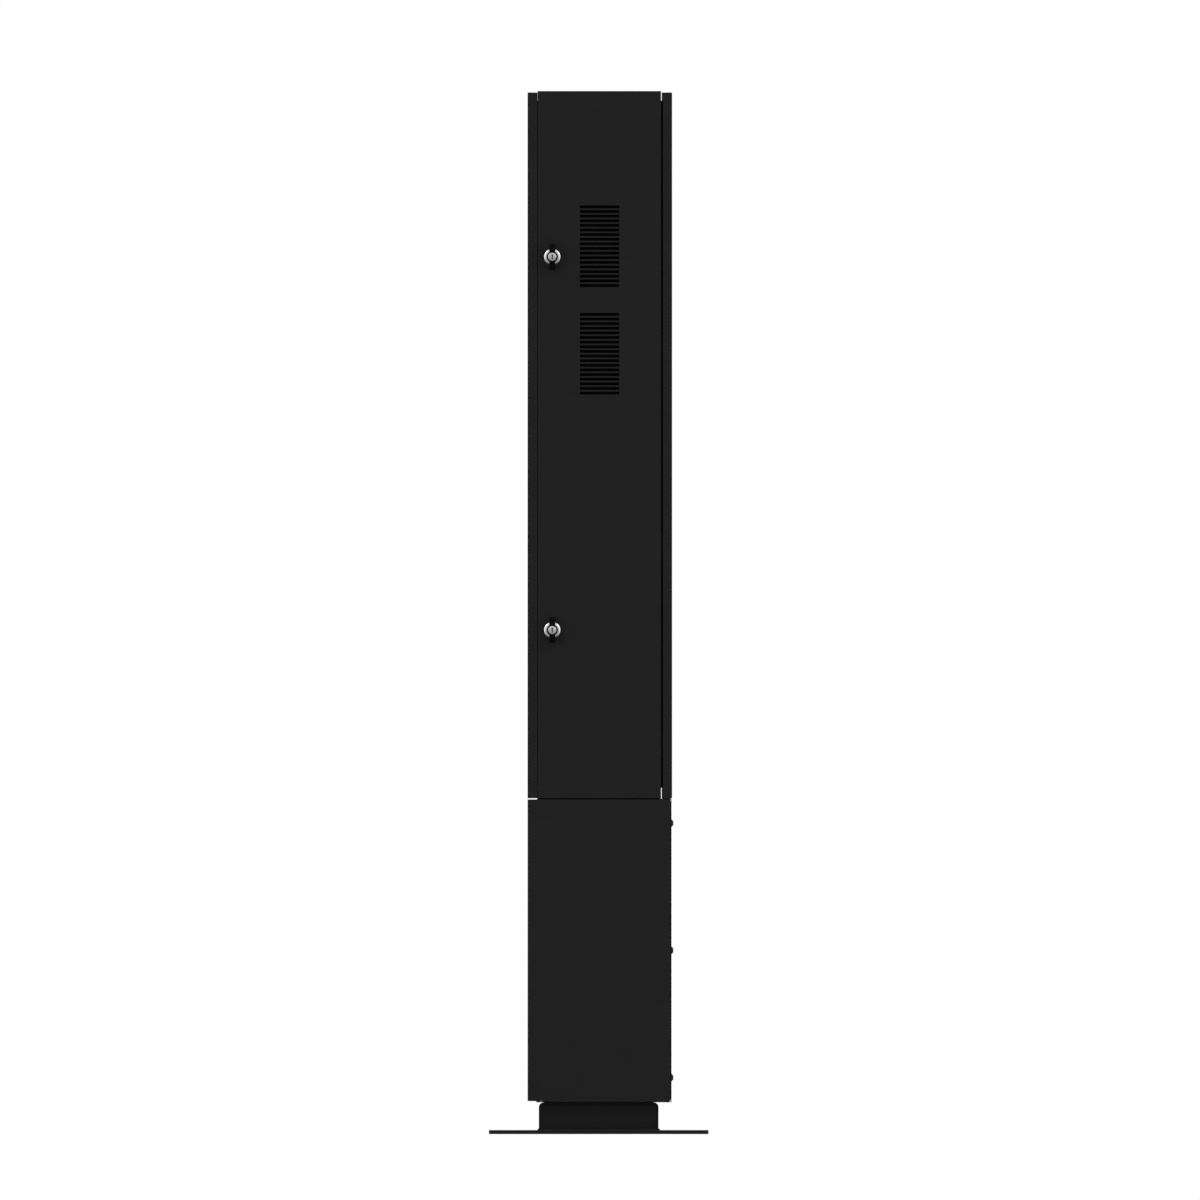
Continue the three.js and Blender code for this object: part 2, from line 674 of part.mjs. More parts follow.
function camOutline() {
  const halfWidth = 8;
  const reach = 22;
  const outline = new THREE.Shape();
  outline.moveTo(-halfWidth, 0);
  outline.absarc(0, 0, halfWidth, 2 * QUARTER_TURN, 4 * QUARTER_TURN, false);
  outline.lineTo(halfWidth, reach);
  outline.lineTo(-halfWidth, reach);
  return outline;
}

function squareBar(halfWidth, depth) {
  const range = [-halfWidth, halfWidth];
  return block(range, depth, range);
}

function makeLock(place, height) {
  const lock = groupAt(LOCK_X, FRONT, height);
  const [rosetteFront, rosetteBack] = ROSETTE_DEPTH;
  const seat = BOSS_RADIUS + FIT;
  const rosette = turnedAboutY([
    [seat, rosetteFront],
    [ROSETTE_RADIUS - 2.4, rosetteFront],
    [ROSETTE_RADIUS - 0.7, rosetteFront + 0.9],
    [ROSETTE_RADIUS, rosetteFront + 2.2],
    [ROSETTE_RADIUS, rosetteBack],
    [seat, rosetteBack],
    [seat, rosetteFront]
  ]);
  piece(`${place}_lock_rosette`, rosette, CHROME, lock);

  const housing = alongY(HOUSING_DEPTH, circle(0, 0, HOUSING_RADIUS));
  const throat = alongY(inset(HOUSING_DEPTH, -1), circle(0, 0, SHAFT_RADIUS + FIT));
  piece(`${place}_lock_housing`, housing.subtract(throat), ZINC, lock);

  const plugBore = [BOSS_FRONT - 1, PLUG_DEPTH[1] + FIT];
  const knob = alongY([BOSS_FRONT, -FIT], circle(0, 0, BOSS_RADIUS))
    .add(alongY(WING_DEPTH, wingOutline(), 6))
    .add(alongY([-1, SHAFT_END], circle(0, 0, SHAFT_RADIUS)))
    .add(squareBar(TENON_HALF_WIDTH, [SHAFT_END - 1, TENON_END]))
    .subtract(alongY(plugBore, circle(0, 0, PLUG_RADIUS + FIT)));
  piece(`${place}_wing_knob`, knob, BLACK_METAL, lock);

  const keyway = block([-0.9, 0.9], [PLUG_DEPTH[0] - 1, PLUG_DEPTH[0] + 3], [-4.5, 5]);
  const plug = alongY(PLUG_DEPTH, circle(0, 0, PLUG_RADIUS)).subtract(keyway);
  piece(`${place}_key_plug`, plug, CHROME, lock);

  const square = squareBar(TENON_HALF_WIDTH + FIT, inset(CAM_DEPTH, -1));
  const cam = alongY(CAM_DEPTH, camOutline(), 6).subtract(square);
  piece(`${place}_lock_cam`, cam, ZINC, lock);
}

// ------------------------------------------------------------------- assembly

makeFootPlate();
makePlinth();
makePedestal();
makeAccessPanel();
makeAccessScrews();
makeNeck();
makeCarcass();
makeGrommet();
makeOuterPanels();
makeShelving();
makeDoorSkin();
makeDoorFrame();
makeVents();
HINGE_HEIGHTS.forEach((height, i) => makeHinge(i + 1, height));
for (const [place, height] of Object.entries(LOCK_HEIGHTS)) {
  makeLock(place, height);
}

export default cabinet;
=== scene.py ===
"""Coats, fasteners and small parts of a slim sheet-steel locker cabinet.

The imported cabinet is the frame. Each operator below makes one group of like
pieces around it, with X to the right, Y to the back and Z up. Lengths are in metres,
except in the shapes that are drawn in millimetres and placed with IN_MM.
"""
import json
import math

import bmesh
import bpy
from bpy.props import FloatProperty, FloatVectorProperty, IntProperty, PointerProperty
from mathutils import Matrix, Vector, noise


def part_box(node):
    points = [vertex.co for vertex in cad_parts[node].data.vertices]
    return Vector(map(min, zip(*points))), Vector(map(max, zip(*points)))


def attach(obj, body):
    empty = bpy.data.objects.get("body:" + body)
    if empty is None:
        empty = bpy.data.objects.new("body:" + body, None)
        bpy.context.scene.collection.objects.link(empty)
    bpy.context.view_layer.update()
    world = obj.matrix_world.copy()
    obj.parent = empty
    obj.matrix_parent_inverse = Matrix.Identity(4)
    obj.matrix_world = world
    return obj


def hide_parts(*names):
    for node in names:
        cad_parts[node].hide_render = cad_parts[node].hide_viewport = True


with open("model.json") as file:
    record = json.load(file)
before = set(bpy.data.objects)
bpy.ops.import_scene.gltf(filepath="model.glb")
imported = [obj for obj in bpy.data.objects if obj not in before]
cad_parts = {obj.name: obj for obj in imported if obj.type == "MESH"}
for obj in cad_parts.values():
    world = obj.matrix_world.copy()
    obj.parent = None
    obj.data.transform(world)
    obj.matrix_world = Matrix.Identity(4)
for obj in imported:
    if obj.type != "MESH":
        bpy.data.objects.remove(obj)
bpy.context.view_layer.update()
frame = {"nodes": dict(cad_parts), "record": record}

bl_info = {
    "name": "Locker cabinet finish",
    "version": (1, 0, 0),
    "blender": (4, 5, 0),
    "location": "3D Viewport > Sidebar > Cabinet",
    "description": "Makes the coats, fasteners and fine parts of a locker cabinet",
    "category": "Object",
}

MM = 0.001
MERGE_DISTANCE = 0.002 * MM
FLAT_ANGLE = math.radians(0.3)
EDGE_ANGLE = math.radians(32)
ROUND_SIDES = 72
RIPPLE_HEIGHT = 0.16 * MM
FRONTWARD = Matrix.Rotation(math.radians(90), 4, "X")  # turns +Z to face the door's front
IN_MM = Matrix.Scale(MM, 4)  # places a shape that is drawn in millimetres

RECORD = frame["record"]
BODY_OF = {n: body for body, nodes in RECORD["behaviour"]["bodies"].items() for n in nodes}
SLOT_OF = {row["node"]: row["material_slot"] for row in RECORD["subparts"]}
LOCKS = ("upper", "lower")


# ------------------------------------------------------------------- settings

def linear(hex_colour):
    """The linear RGB of an sRGB colour such as "#212121"."""
    channels = [int(hex_colour[i:i + 2], 16) / 255 for i in (1, 3, 5)]
    return [c / 12.92 if c <= 0.04045 else ((c + 0.055) / 1.055) ** 2.4 for c in channels]


def colour(name, description, hex_colour):
    """A colour property."""
    return FloatVectorProperty(
        name=name, description=description, subtype="COLOR", size=3, min=0, max=1,
        default=linear(hex_colour))


def length(name, description, millimetres):
    """A length property."""
    return FloatProperty(
        name=name, description=description, unit="LENGTH", subtype="DISTANCE", precision=5,
        min=0, default=millimetres * MM)


class CABINET_PG_sheet(bpy.types.PropertyGroup):
    """Sizes of the sheet-metal details."""

    edge: length("Sheet edge", "Rounding of a cut and coated sheet edge", 0.35)
    plate_edge: length("Plate edge", "Rounding of the foot plate's edges", 0.7)
    hinge_edge: length("Hinge edge", "Rounding of the hinges' edges", 0.25)
    gasket_edge: length("Gasket edge", "Rounding of the door gasket", 0.9)
    weld_leg: length("Weld leg", "Leg length of the fillet welds at the plinth's foot", 2.5)
    weld_ripple: length("Weld ripple", "Distance between two ripples of a weld", 2.6)
    slot_pitch: length("Upright slot pitch", "Distance between two slots of a shelf upright", 25)
    slot_length: length("Upright slot length", "Height of a slot in a shelf upright", 13)
    slot_width: length("Upright slot width", "Width of a slot in a shelf upright", 4)
    wire: length("Grid wire", "Thickness of the wires that hold a filter mat", 1.2)
    wire_gap: length("Grid spacing", "Distance between two wires of a filter grid", 11)
    fleece_step: length("Fleece step", "Size of the bumps on a filter mat", 2.5)


class CABINET_PG_fasteners(bpy.types.PropertyGroup):
    """Sizes of the screws and nuts."""

    access_head: length("Access screw head", "Head diameter of the access panel's screws", 13)
    rear_head: length("Rear screw head", "Head diameter of the rear panel's screws", 9)
    hinge_head: length("Hinge screw head", "Head diameter of the hinges' screws", 6.4)
    rear_rows: IntProperty(
        name="Rear screw rows", description="Rows of screws on the rear panel", min=2, default=6)
    nut_flats: length("Lock nut", "Width across the flats of a lock nut", 24)


class CABINET_PG_lock(bpy.types.PropertyGroup):
    """Sizes of the locks' fine shapes."""

    wing_round: length("Wing rounding", "Rounding of the wing knob's edges", 1.1)
    key_slot: length("Key slot", "Width of the key slot", 2)
    key_end: length("Key slot end", "Radius of the key slot's round end", 1.25)
    thread_pitch: length("Housing thread", "Pitch of the lock housing's thread", 1)


class CABINET_PG_finishes(bpy.types.PropertyGroup):
    """Colours of the finishes."""

    coat: colour("Powder coat", "Matte black polyester powder coat", "#141414")
    chrome: colour("Chrome", "Polished chrome plating", "#dcdee0")
    lacquer: colour("Black lacquer", "Satin lacquer on the wing knobs", "#030303")
    oxide: colour("Black oxide", "Black-oxide screws", "#0c0c0c")
    zinc: colour("Zinc plating", "Clear-passivated zinc plating", "#b3b6b8")
    black_zinc: colour("Black zinc", "Black-passivated zinc on the hinges", "#0a0a0b")
    rubber: colour("Rubber", "Black moulded rubber", "#131313")
    # The fleece is black; its near-pure black also paints the shade inside the vent slots, and a third
    # of it the hinge-side gap's shade.
    fleece: colour("Filter fleece", "Black polyester dust-filter fleece", "#030303")


class CABINET_PG_studio(bpy.types.PropertyGroup):
    """The plain studio round the cabinet."""

    floor: colour("Floor", "Matte studio floor", "#ececec")
    ambient: FloatProperty(
        name="Ambient light", description="Brightness of the light tent", min=0, default=0.58)
    side_power: FloatProperty(
        name="Side lights", description="Power of each side softbox", subtype="POWER",
        unit="POWER", min=0, default=80)
    top_power: FloatProperty(
        name="Top light", description="Power of the overhead softbox", subtype="POWER",
        unit="POWER", min=0, default=60)
    view_width: length("View width", "Width of the view at the cabinet", 2076)
    view_x: length("View centre X", "Sideways place of the view's middle", 2.3)
    view_z: length("View centre Z", "Height of the view's middle", 924)


# ------------------------------------------------------------------ materials

def add_node(tree, kind, settings=None, inputs=None):
    """Adds a node, sets its properties and values, and links the inputs given as sockets."""
    node = tree.nodes.new(kind)
    for name, value in (settings or {}).items():
        setattr(node, name, value)
    for name, value in (inputs or {}).items():
        if isinstance(value, bpy.types.NodeSocket):
            tree.links.new(value, node.inputs[name])
        else:
            node.inputs[name].default_value = value
    return node


def start_material(name, values):
    """A new material with its shader's values set, and the socket that gives each place on it."""
    material = bpy.data.materials.new(name)
    material.use_nodes = True
    tree = material.node_tree
    for label, value in values.items():
        tree.nodes["Principled BSDF"].inputs[label].default_value = value
    return material, add_node(tree, "ShaderNodeTexCoord").outputs["Object"]


def tinted(base, *shares):
    """The colour made darker or lighter by each share."""
    return [[channel * share for channel in base] for share in shares]


def follow(factor, shades=None, roughness=None, bumps=None):
    """Lets the shade, the roughness and the relief of a surface follow a factor."""
    tree = factor.id_data
    surface = tree.nodes["Principled BSDF"].inputs
    if shades:
        ramp = add_node(tree, "ShaderNodeValToRGB", inputs={"Fac": factor})
        for stop, position, shade_there in zip(ramp.color_ramp.elements, (0.33, 0.67), shades):
            stop.position, stop.color = position, (*shade_there, 1)
        tree.links.new(ramp.outputs["Color"], surface["Base Color"])
    if roughness:
        low, high = roughness
        span = add_node(tree, "ShaderNodeMapRange", inputs={
            "Value": factor, "From Min": 0.3, "From Max": 0.7, "To Min": low, "To Max": high})
        tree.links.new(span.outputs["Result"], surface["Roughness"])
    if bumps:
        height, strength = bumps
        bump = add_node(tree, "ShaderNodeBump", inputs={
            "Height": factor, "Distance": height, "Strength": strength})
        tree.links.new(bump.outputs["Normal"], surface["Normal"])


def grain(place, size, detail=2.0, contrast=0.5, **effects):
    """Effects that follow a noise whose grains are that size, in metres."""
    mottle = add_node(place.id_data, "ShaderNodeTexNoise", inputs={
        "Vector": place, "Scale": 1 / size, "Detail": detail, "Roughness": contrast})
    follow(mottle.outputs["Fac"], **effects)


def powder_coat(finishes):
    """Polyester powder coat: dry-sprayed, so it is matte with a faint orange peel."""
    material, place = start_material("powder_coat_black", {"Specular IOR Level": 0.155})
    # The coat's thickness drifts slowly over a panel, which shifts its shade a little.
    grain(place, 60 * MM, detail=3.0, shades=tinted(finishes.coat, 0.93, 1.07))
    # A fine-texture coat has 0.3 mm grains. They are drawn at 1.6 mm so that they show.
    grain(place, 1.6 * MM, detail=3.0, contrast=0.6, roughness=(0.44, 0.64),
          bumps=(0.3 * MM, 0.9))
    return material


def chrome(finishes):
    """Polished chrome plating: a mirror with faint wiping scuffs."""
    material, place = start_material("chrome_plating", {"Metallic": 1.0})
    grain(place, 3 * MM, detail=5.0, contrast=0.65,
          shades=tinted(finishes.chrome, 0.96, 1), roughness=(0.1, 0.17))
    grain(place, 0.5 * MM, bumps=(0.002 * MM, 0.3))
    return material


def turned_chrome(finishes, lock):
    """Chrome on a faced-off plug: turning rings that blur the reflections."""
    material, place = start_material(f"turned_chrome_{lock}", {"Metallic": 1.0})
    tree = material.node_tree
    centred = add_node(tree, "ShaderNodeMapping", {"vector_type": "POINT"}, {
        "Vector": place, "Location": -middle_of(f"{lock}_key_plug")})
    # The cutter's feed is 0.05 mm a turn. It is drawn at 0.35 mm so that the rings show.
    rings = add_node(tree, "ShaderNodeTexWave", {"wave_type": "RINGS", "rings_direction": "Y"}, {
        "Vector": centred.outputs["Vector"], "Scale": 0.314 / (0.35 * MM), "Distortion": 0.4})
    follow(rings.outputs["Fac"], shades=tinted(finishes.chrome, 0.86, 1),
           roughness=(0.22, 0.32), bumps=(0.01 * MM, 0.4))
    return material


def black_lacquer(finishes):
    """Stoved satin lacquer on die-cast zinc: soft gloss over a fine cast skin."""
    material, place = start_material("stoved_black_lacquer", {"Specular IOR Level": 0.07})
    grain(place, 0.9 * MM, detail=4.0, shades=tinted(finishes.lacquer, 0.8, 1.15),
          roughness=(0.33, 0.43), bumps=(0.03 * MM, 0.25))
    return material


def black_oxide(finishes):
    """Black-oxide steel: a thin dark skin, so the metal's sheen stays."""
    material, place = start_material(
        "black_oxide_steel", {"Metallic": 0.25, "Specular IOR Level": 0.2})
    grain(place, 1.2 * MM, detail=4.0, shades=tinted(finishes.oxide, 0.75, 1.2),
          roughness=(0.38, 0.5), bumps=(0.01 * MM, 0.3))
    return material


def passivated(name, look, shades, roughness):
    """Zinc on pressed steel, with the cloudy patches that its passivation leaves."""
    material, place = start_material(name, look)
    grain(place, 5 * MM, detail=4.0, contrast=0.6, shades=shades, roughness=roughness)
    grain(place, 0.4 * MM, bumps=(0.004 * MM, 0.4))
    return material


def zinc_plating(finishes):
    """Clear-passivated zinc: satin metal, a little bluish in its clouds."""
    base = finishes.zinc
    cool = [base[0] * 0.86, base[1] * 0.9, base[2] * 0.95]
    return passivated("zinc_plating", {"Metallic": 1.0}, (cool, base), (0.28, 0.44))


def black_zinc(finishes):
    """Black-passivated zinc: a deep, slightly blotchy satin black."""
    return passivated(
        "black_passivated_zinc", {"Metallic": 0.15, "Specular IOR Level": 0.15},
        tinted(finishes.black_zinc, 0.7, 1.3), (0.34, 0.5))


def moulded_rubber(finishes):
    """Black EPDM rubber: dull, with the mould's fine matt texture."""
    material, place = start_material("moulded_rubber", {"Specular IOR Level": 0.35})
    grain(place, 0.8 * MM, detail=3.0, shades=tinted(finishes.rubber, 0.8, 1.25),
          roughness=(0.68, 0.82), bumps=(0.02 * MM, 0.4))
    return material


def gap_shade_foam(finishes):
    """Foamed rubber for the strip beside the hinges, coloured near pure black to paint the shade in
    the door's hinge-side gap.
    """
    material, place = start_material(
        "gap_shade_foam", {"Roughness": 0.95, "Specular IOR Level": 0.02})
    # Painted shade: a third to all of the fleece's near-black, so the gap beside the hinges reads
    # black.
    grain(place, 0.8 * MM, detail=4.0, contrast=0.7, shades=tinted(finishes.fleece, 0.3, 1),
          bumps=(0.2 * MM, 0.6))
    return material


def filter_fleece(finishes):
    """Non-woven polyester fleece: tangled matt fibres, black, and coloured near pure black so that
    they also paint the shade inside the vent slots.
    """
    material, place = start_material(
        "filter_fleece", {"Roughness": 0.95, "Specular IOR Level": 0.05})
    # Fibres are 0.05 mm thick. They are drawn as 0.5 mm strands so that they show.
    stretched = add_node(material.node_tree, "ShaderNodeMapping", inputs={
        "Vector": place, "Scale": (1, 1, 3)})
    # Painted shade: the near-black fleece colour makes the vent slots read as dark as their shade.
    grain(stretched.outputs["Vector"], 0.9 * MM, detail=6.0, contrast=0.75,
          shades=tinted(finishes.fleece, 0.45, 1.5), bumps=(0.4 * MM, 0.7))
    return material


def studio_floor(studio):
    """Matte painted studio floor with faint patches from the roller."""
    material, place = start_material(
        "studio_floor", {"Roughness": 0.9, "Specular IOR Level": 0.1})
    grain(place, 250 * MM, shades=tinted(studio.floor, 0.985, 1))
    return material


MAKER_OF = {
    "powder_coat_black": powder_coat,
    "chrome": chrome,
    "black_lacquer": black_lacquer,
    "black_screw": black_oxide,
    "zinc_plated": zinc_plating,
    "rubber": moulded_rubber,
    "filter_mat": filter_fleece,
}
made_materials = {}


def finish_of(slot):
    """The material of a slot, made once."""
    if slot not in made_materials:
        made_materials[slot] = MAKER_OF[slot](bpy.context.scene.cabinet_finishes)
    return made_materials[slot]


# --------------------------------------------------------------------- shapes

def nodes_named(start):
    """The frame's nodes whose names start so."""
    return [name for name in frame["nodes"] if name.startswith(start)]


def middle_of(node):
    """The middle of a node's box."""
    low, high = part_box(node)
    return (low + high) / 2


def radius_of(node):
    """Half of a round node's width, in millimetres."""
    low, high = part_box(node)
    return (high.x - low.x) / (2 * MM)


def add_object(name, mesh):
    """Links a new object that holds the mesh."""
    item = bpy.data.objects.new(name, mesh)
    bpy.context.scene.collection.objects.link(item)
    return item


def mesh_of(name, shape):
    """Turns a bmesh into a mesh with outward faces and frees it."""
    bmesh.ops.recalc_face_normals(shape, faces=shape.faces)
    mesh = bpy.data.meshes.new(name)
    shape.to_mesh(mesh)
    shape.free()
    return mesh


def shade(mesh):
    """Smooth shading with sharp folds."""
    mesh.shade_smooth()
    mesh.set_sharp_from_angle(angle=EDGE_ANGLE)


def settle(piece, body, slot, material=None, stands_for=()):
    """Gives a finished piece its coat, taken from the slot unless a material is given, and its body.
    """
    piece.data.materials.clear()
    piece.data.materials.append(material or finish_of(slot))
    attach(piece, body)
    if stands_for:
        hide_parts(*stands_for)
    return piece


def stand_in(piece, node, material=None):
    """Settles a finished piece in the place of a CAD node."""
    return settle(piece, BODY_OF[node], SLOT_OF[node], material, [node])


def round_edges(piece, radius):
    """Rounds a piece's sharp edges with a live bevel."""
    piece.data.shade_smooth()
    bevel = piece.modifiers.new("rounded edges", "BEVEL")
    bevel.width = radius
    bevel.segments = 2
    bevel.limit_method = "ANGLE"
    bevel.angle_limit = EDGE_ANGLE
    bevel.use_clamp_overlap = False
    # Large flat faces decide the shading, so panels stay flat beside their rounded edges.
    weigh = piece.modifiers.new("flat panels", "WEIGHTED_NORMAL")
    weigh.weight = 100


def refined(node, radius, material=None):
    """A copy of a CAD node with rounded edges, which stands for the node."""
    shape = bmesh.new()
    shape.from_mesh(frame["nodes"][node].data)
    bmesh.ops.remove_doubles(shape, verts=shape.verts, dist=MERGE_DISTANCE)
    bmesh.ops.dissolve_limit(
        shape, angle_limit=FLAT_ANGLE, verts=shape.verts, edges=shape.edges)
    piece = add_object(f"{node}_finished", mesh_of(node, shape))
    round_edges(piece, radius)
    return stand_in(piece, node, material)


def ring(shape, radius, height, corners=0, twist=0.0):
    """One ring of vertices about Z; with corners it is a polygon of that flat-to-centre radius."""
    if radius == 0:
        return [shape.verts.new((0, 0, height))]
    loop = []
    for i in range(ROUND_SIDES):
        angle = 2 * math.pi * i / ROUND_SIDES
        reach = radius
        if corners:
            sector = 2 * math.pi / corners
            reach = radius / math.cos(angle % sector - sector / 2)
        x, y = reach * math.cos(angle + twist), reach * math.sin(angle + twist)
        loop.append(shape.verts.new((x, y, height)))
    return loop


def stacked(rings, closed=False, twist=0.0):
    """A body about Z through (radius, height[, corners]) rings; closed joins the last to the first."""
    shape = bmesh.new()
    loops = [ring(shape, *values, twist=twist) for values in rings]
    pairs = list(zip(loops, loops[1:]))
    if closed:
        pairs.append((loops[-1], loops[0]))
    for lower, upper in pairs:
        for i in range(ROUND_SIDES):
            j = (i + 1) % ROUND_SIDES
            corners = [lower[i % len(lower)], lower[j % len(lower)],
                       upper[j % len(upper)], upper[i % len(upper)]]
            shape.faces.new(dict.fromkeys(corners))
    return shape


def side_walls(shape, front, back):
    """Faces between two loops of vertices."""
    for i, vertex in enumerate(front):
        j = (i + 1) % len(front)
        shape.faces.new([vertex, front[j], back[j], back[i]])


def closed_body(shape, front, back):
    """Closes a body between two loops of vertices."""
    shape.faces.new(front)
    shape.faces.new(back)
    side_walls(shape, front, back)


def prism(outline, depth, shape=None):
    """A body from an outline of (x, z) points, drawn from the front of depth to its back."""
    shape = shape or bmesh.new()
    front, back = ([shape.verts.new((x, y, z)) for x, z in outline] for y in depth)
    closed_body(shape, front, back)
    return shape


def cuboid(low, high, shape=None):
    """A box between two corners."""
    outline = [(low[0], low[2]), (high[0], low[2]), (high[0], high[2]), (low[0], high[2])]
    return prism(outline, (low[1], high[1]), shape)


def placed(name, shape, matrix=Matrix.Identity(4)):
    """An object at the origin whose mesh has been moved by the matrix."""
    shape.transform(matrix)
    item = add_object(name, mesh_of(name, shape))
    shade(item.data)
    return item


def evaluated_mesh(item):
    """The item's mesh with its modifiers carried out."""
    bpy.context.view_layer.update()
    graph = bpy.context.evaluated_depsgraph_get()
    return bpy.data.meshes.new_from_object(item.evaluated_get(graph))


def combine(base, others, operation):
    """Joins or cuts the base with the others, which are used up."""
    for other in others:
        step = base.modifiers.new(operation, "BOOLEAN")
        step.operation = operation
        step.solver = "EXACT"
        step.object = other
    result = evaluated_mesh(base)
    base.modifiers.clear()
    base.data = result
    shade(result)
    for other in others:
        bpy.data.objects.remove(other)
    return base


# ------------------------------------------------------------- geometry trees

def start_tree(name, sizes):
    """A geometry tree with one named input for each size; returns it with its input node."""
    tree = bpy.data.node_groups.new(name, "GeometryNodeTree")
    sockets = {"Geometry": ("NodeSocketGeometry", None), **sizes}
    sockets["Material"] = ("NodeSocketMaterial", None)
    for label, (kind, value) in sockets.items():
        socket = tree.interface.new_socket(label, in_out="INPUT", socket_type=kind)
        if value is not None:
            socket.default_value = value
    tree.interface.new_socket("Result", in_out="OUTPUT", socket_type="NodeSocketGeometry")
    return tree, add_node(tree, "NodeGroupInput")


def end_tree(tree, source, geometry):
    """Realizes the instances, sets the material and closes the tree."""
    real = add_node(tree, "GeometryNodeRealizeInstances", inputs={"Geometry": geometry})
    coated = add_node(tree, "GeometryNodeSetMaterial", inputs={
        "Geometry": real.outputs["Geometry"], "Material": source.outputs["Material"]})
    add_node(tree, "NodeGroupOutput", inputs={"Result": coated.outputs["Geometry"]})
    return tree


def grow(item, tree, values):
    """Runs a tree on an item and keeps the result as its plain mesh."""
    modifier = item.modifiers.new(tree.name, "NODES")
    modifier.node_group = tree
    for label, value in values.items():
        modifier[tree.interface.items_tree[label].identifier] = value
    result = evaluated_mesh(item)
    item.modifiers.clear()
    item.data = result
    return item


def swept(tree, path, radius, sides):
    """The mesh of a round bar along a path."""
    section = add_node(tree, "GeometryNodeCurvePrimitiveCircle", {"mode": "RADIUS"}, {
        "Resolution": sides, "Radius": radius})
    bar = add_node(tree, "GeometryNodeCurveToMesh", inputs={
        "Curve": path, "Profile Curve": section.outputs["Curve"], "Fill Caps": True})
    return bar.outputs["Mesh"]


def fastener_tree():
    """Puts one fastener on each point, facing one way."""
    tree, source = start_tree("fasteners_on_points", {
        "Fastener": ("NodeSocketObject", None),
        "Head Diameter": ("NodeSocketFloat", 10 * MM),
        "Facing": ("NodeSocketVector", (0.0, 0.0, 1.0)),
    })
    pattern = add_node(tree, "GeometryNodeObjectInfo", inputs={
        "Object": source.outputs["Fastener"]})
    turn = add_node(tree, "FunctionNodeAlignRotationToVector", {"axis": "Z"}, {
        "Vector": source.outputs["Facing"]})
    placed_ones = add_node(tree, "GeometryNodeInstanceOnPoints", inputs={
        "Points": source.outputs["Geometry"],
        "Instance": pattern.outputs["Geometry"],
        "Rotation": turn.outputs["Rotation"],
        "Scale": source.outputs["Head Diameter"],
    })
    return end_tree(tree, source, placed_ones.outputs["Instances"])


def weld_tree():
    """Sweeps a rippled bead along each edge."""
    tree, source = start_tree("rippled_weld", {
        "Leg": ("NodeSocketFloat", 4 * MM),
        "Ripple": ("NodeSocketFloat", 3 * MM),
    })
    path = add_node(tree, "GeometryNodeMeshToCurve", inputs={"Mesh": source.outputs["Geometry"]})
    step = add_node(tree, "ShaderNodeMath", {"operation": "DIVIDE"}, {
        0: source.outputs["Ripple"], 1: 5.0})
    fine = add_node(tree, "GeometryNodeResampleCurve", {"mode": "LENGTH"}, {
        "Curve": path.outputs["Curve"], "Length": step.outputs["Value"]})
    along = add_node(tree, "GeometryNodeSplineParameter")
    capture = add_node(tree, "GeometryNodeCaptureAttribute", inputs={
        "Geometry": fine.outputs["Curve"]})
    capture.capture_items.new("FLOAT", "Travel")
    tree.links.new(along.outputs["Length"], capture.inputs["Travel"])
    bead = swept(tree, capture.outputs["Geometry"], source.outputs["Leg"], 20)
    # The ripple's height is a sine wave along the bead.
    height = capture.outputs["Travel"]
    for operation, value in (("DIVIDE", source.outputs["Ripple"]), ("MULTIPLY", 2 * math.pi),
                             ("SINE", 0.0), ("MULTIPLY", RIPPLE_HEIGHT)):
        height = add_node(tree, "ShaderNodeMath", {"operation": operation}, {
            0: height, 1: value}).outputs["Value"]
    normal = add_node(tree, "GeometryNodeInputNormal")
    push = add_node(tree, "ShaderNodeVectorMath", {"operation": "SCALE"}, {
        "Vector": normal.outputs["Normal"], "Scale": height})
    rippled = add_node(tree, "GeometryNodeSetPosition", inputs={
        "Geometry": bead, "Offset": push.outputs["Vector"]})
    return end_tree(tree, source, rippled.outputs["Geometry"])


def slot_tree():
    """Cuts a row of slots up a shelf upright."""
    tree, source = start_tree("slotted_upright", {
        "First Slot": ("NodeSocketVector", (0.0, 0.0, 0.0)),
        "Slots": ("NodeSocketInt", 10),
        "Pitch": ("NodeSocketFloat", 25 * MM),
        "Slot Width": ("NodeSocketFloat", 4 * MM),
        "Slot Length": ("NodeSocketFloat", 13 * MM),
    })
    offset = add_node(tree, "ShaderNodeCombineXYZ", inputs={"Z": source.outputs["Pitch"]})
    row = add_node(tree, "GeometryNodeMeshLine", inputs={
        "Count": source.outputs["Slots"],
        "Start Location": source.outputs["First Slot"],
        "Offset": offset.outputs["Vector"],
    })
    size = add_node(tree, "ShaderNodeCombineXYZ", inputs={
        "X": 20 * MM, "Y": source.outputs["Slot Width"], "Z": source.outputs["Slot Length"]})
    punch = add_node(tree, "GeometryNodeMeshCube", inputs={"Size": size.outputs["Vector"]})
    punches = add_node(tree, "GeometryNodeInstanceOnPoints", inputs={
        "Points": row.outputs["Mesh"], "Instance": punch.outputs["Mesh"]})
    solid_row = add_node(tree, "GeometryNodeRealizeInstances", inputs={
        "Geometry": punches.outputs["Instances"]})
    cut = add_node(tree, "GeometryNodeMeshBoolean", {"operation": "DIFFERENCE", "solver": "EXACT"}, {
        0: source.outputs["Geometry"], 1: solid_row.outputs["Geometry"]})
    return end_tree(tree, source, cut.outputs["Mesh"])


def grid_tree():
    """Makes a wire of each edge, for the grid behind a filter mat."""
    tree, source = start_tree("wire_grid", {"Wire": ("NodeSocketFloat", 1.2 * MM)})
    lines = add_node(tree, "GeometryNodeMeshToCurve", inputs={
        "Mesh": source.outputs["Geometry"]})
    radius = add_node(tree, "ShaderNodeMath", {"operation": "DIVIDE"}, {
        0: source.outputs["Wire"], 1: 2.0})
    wires = swept(tree, lines.outputs["Curve"], radius.outputs["Value"], 10)
    return end_tree(tree, source, wires)


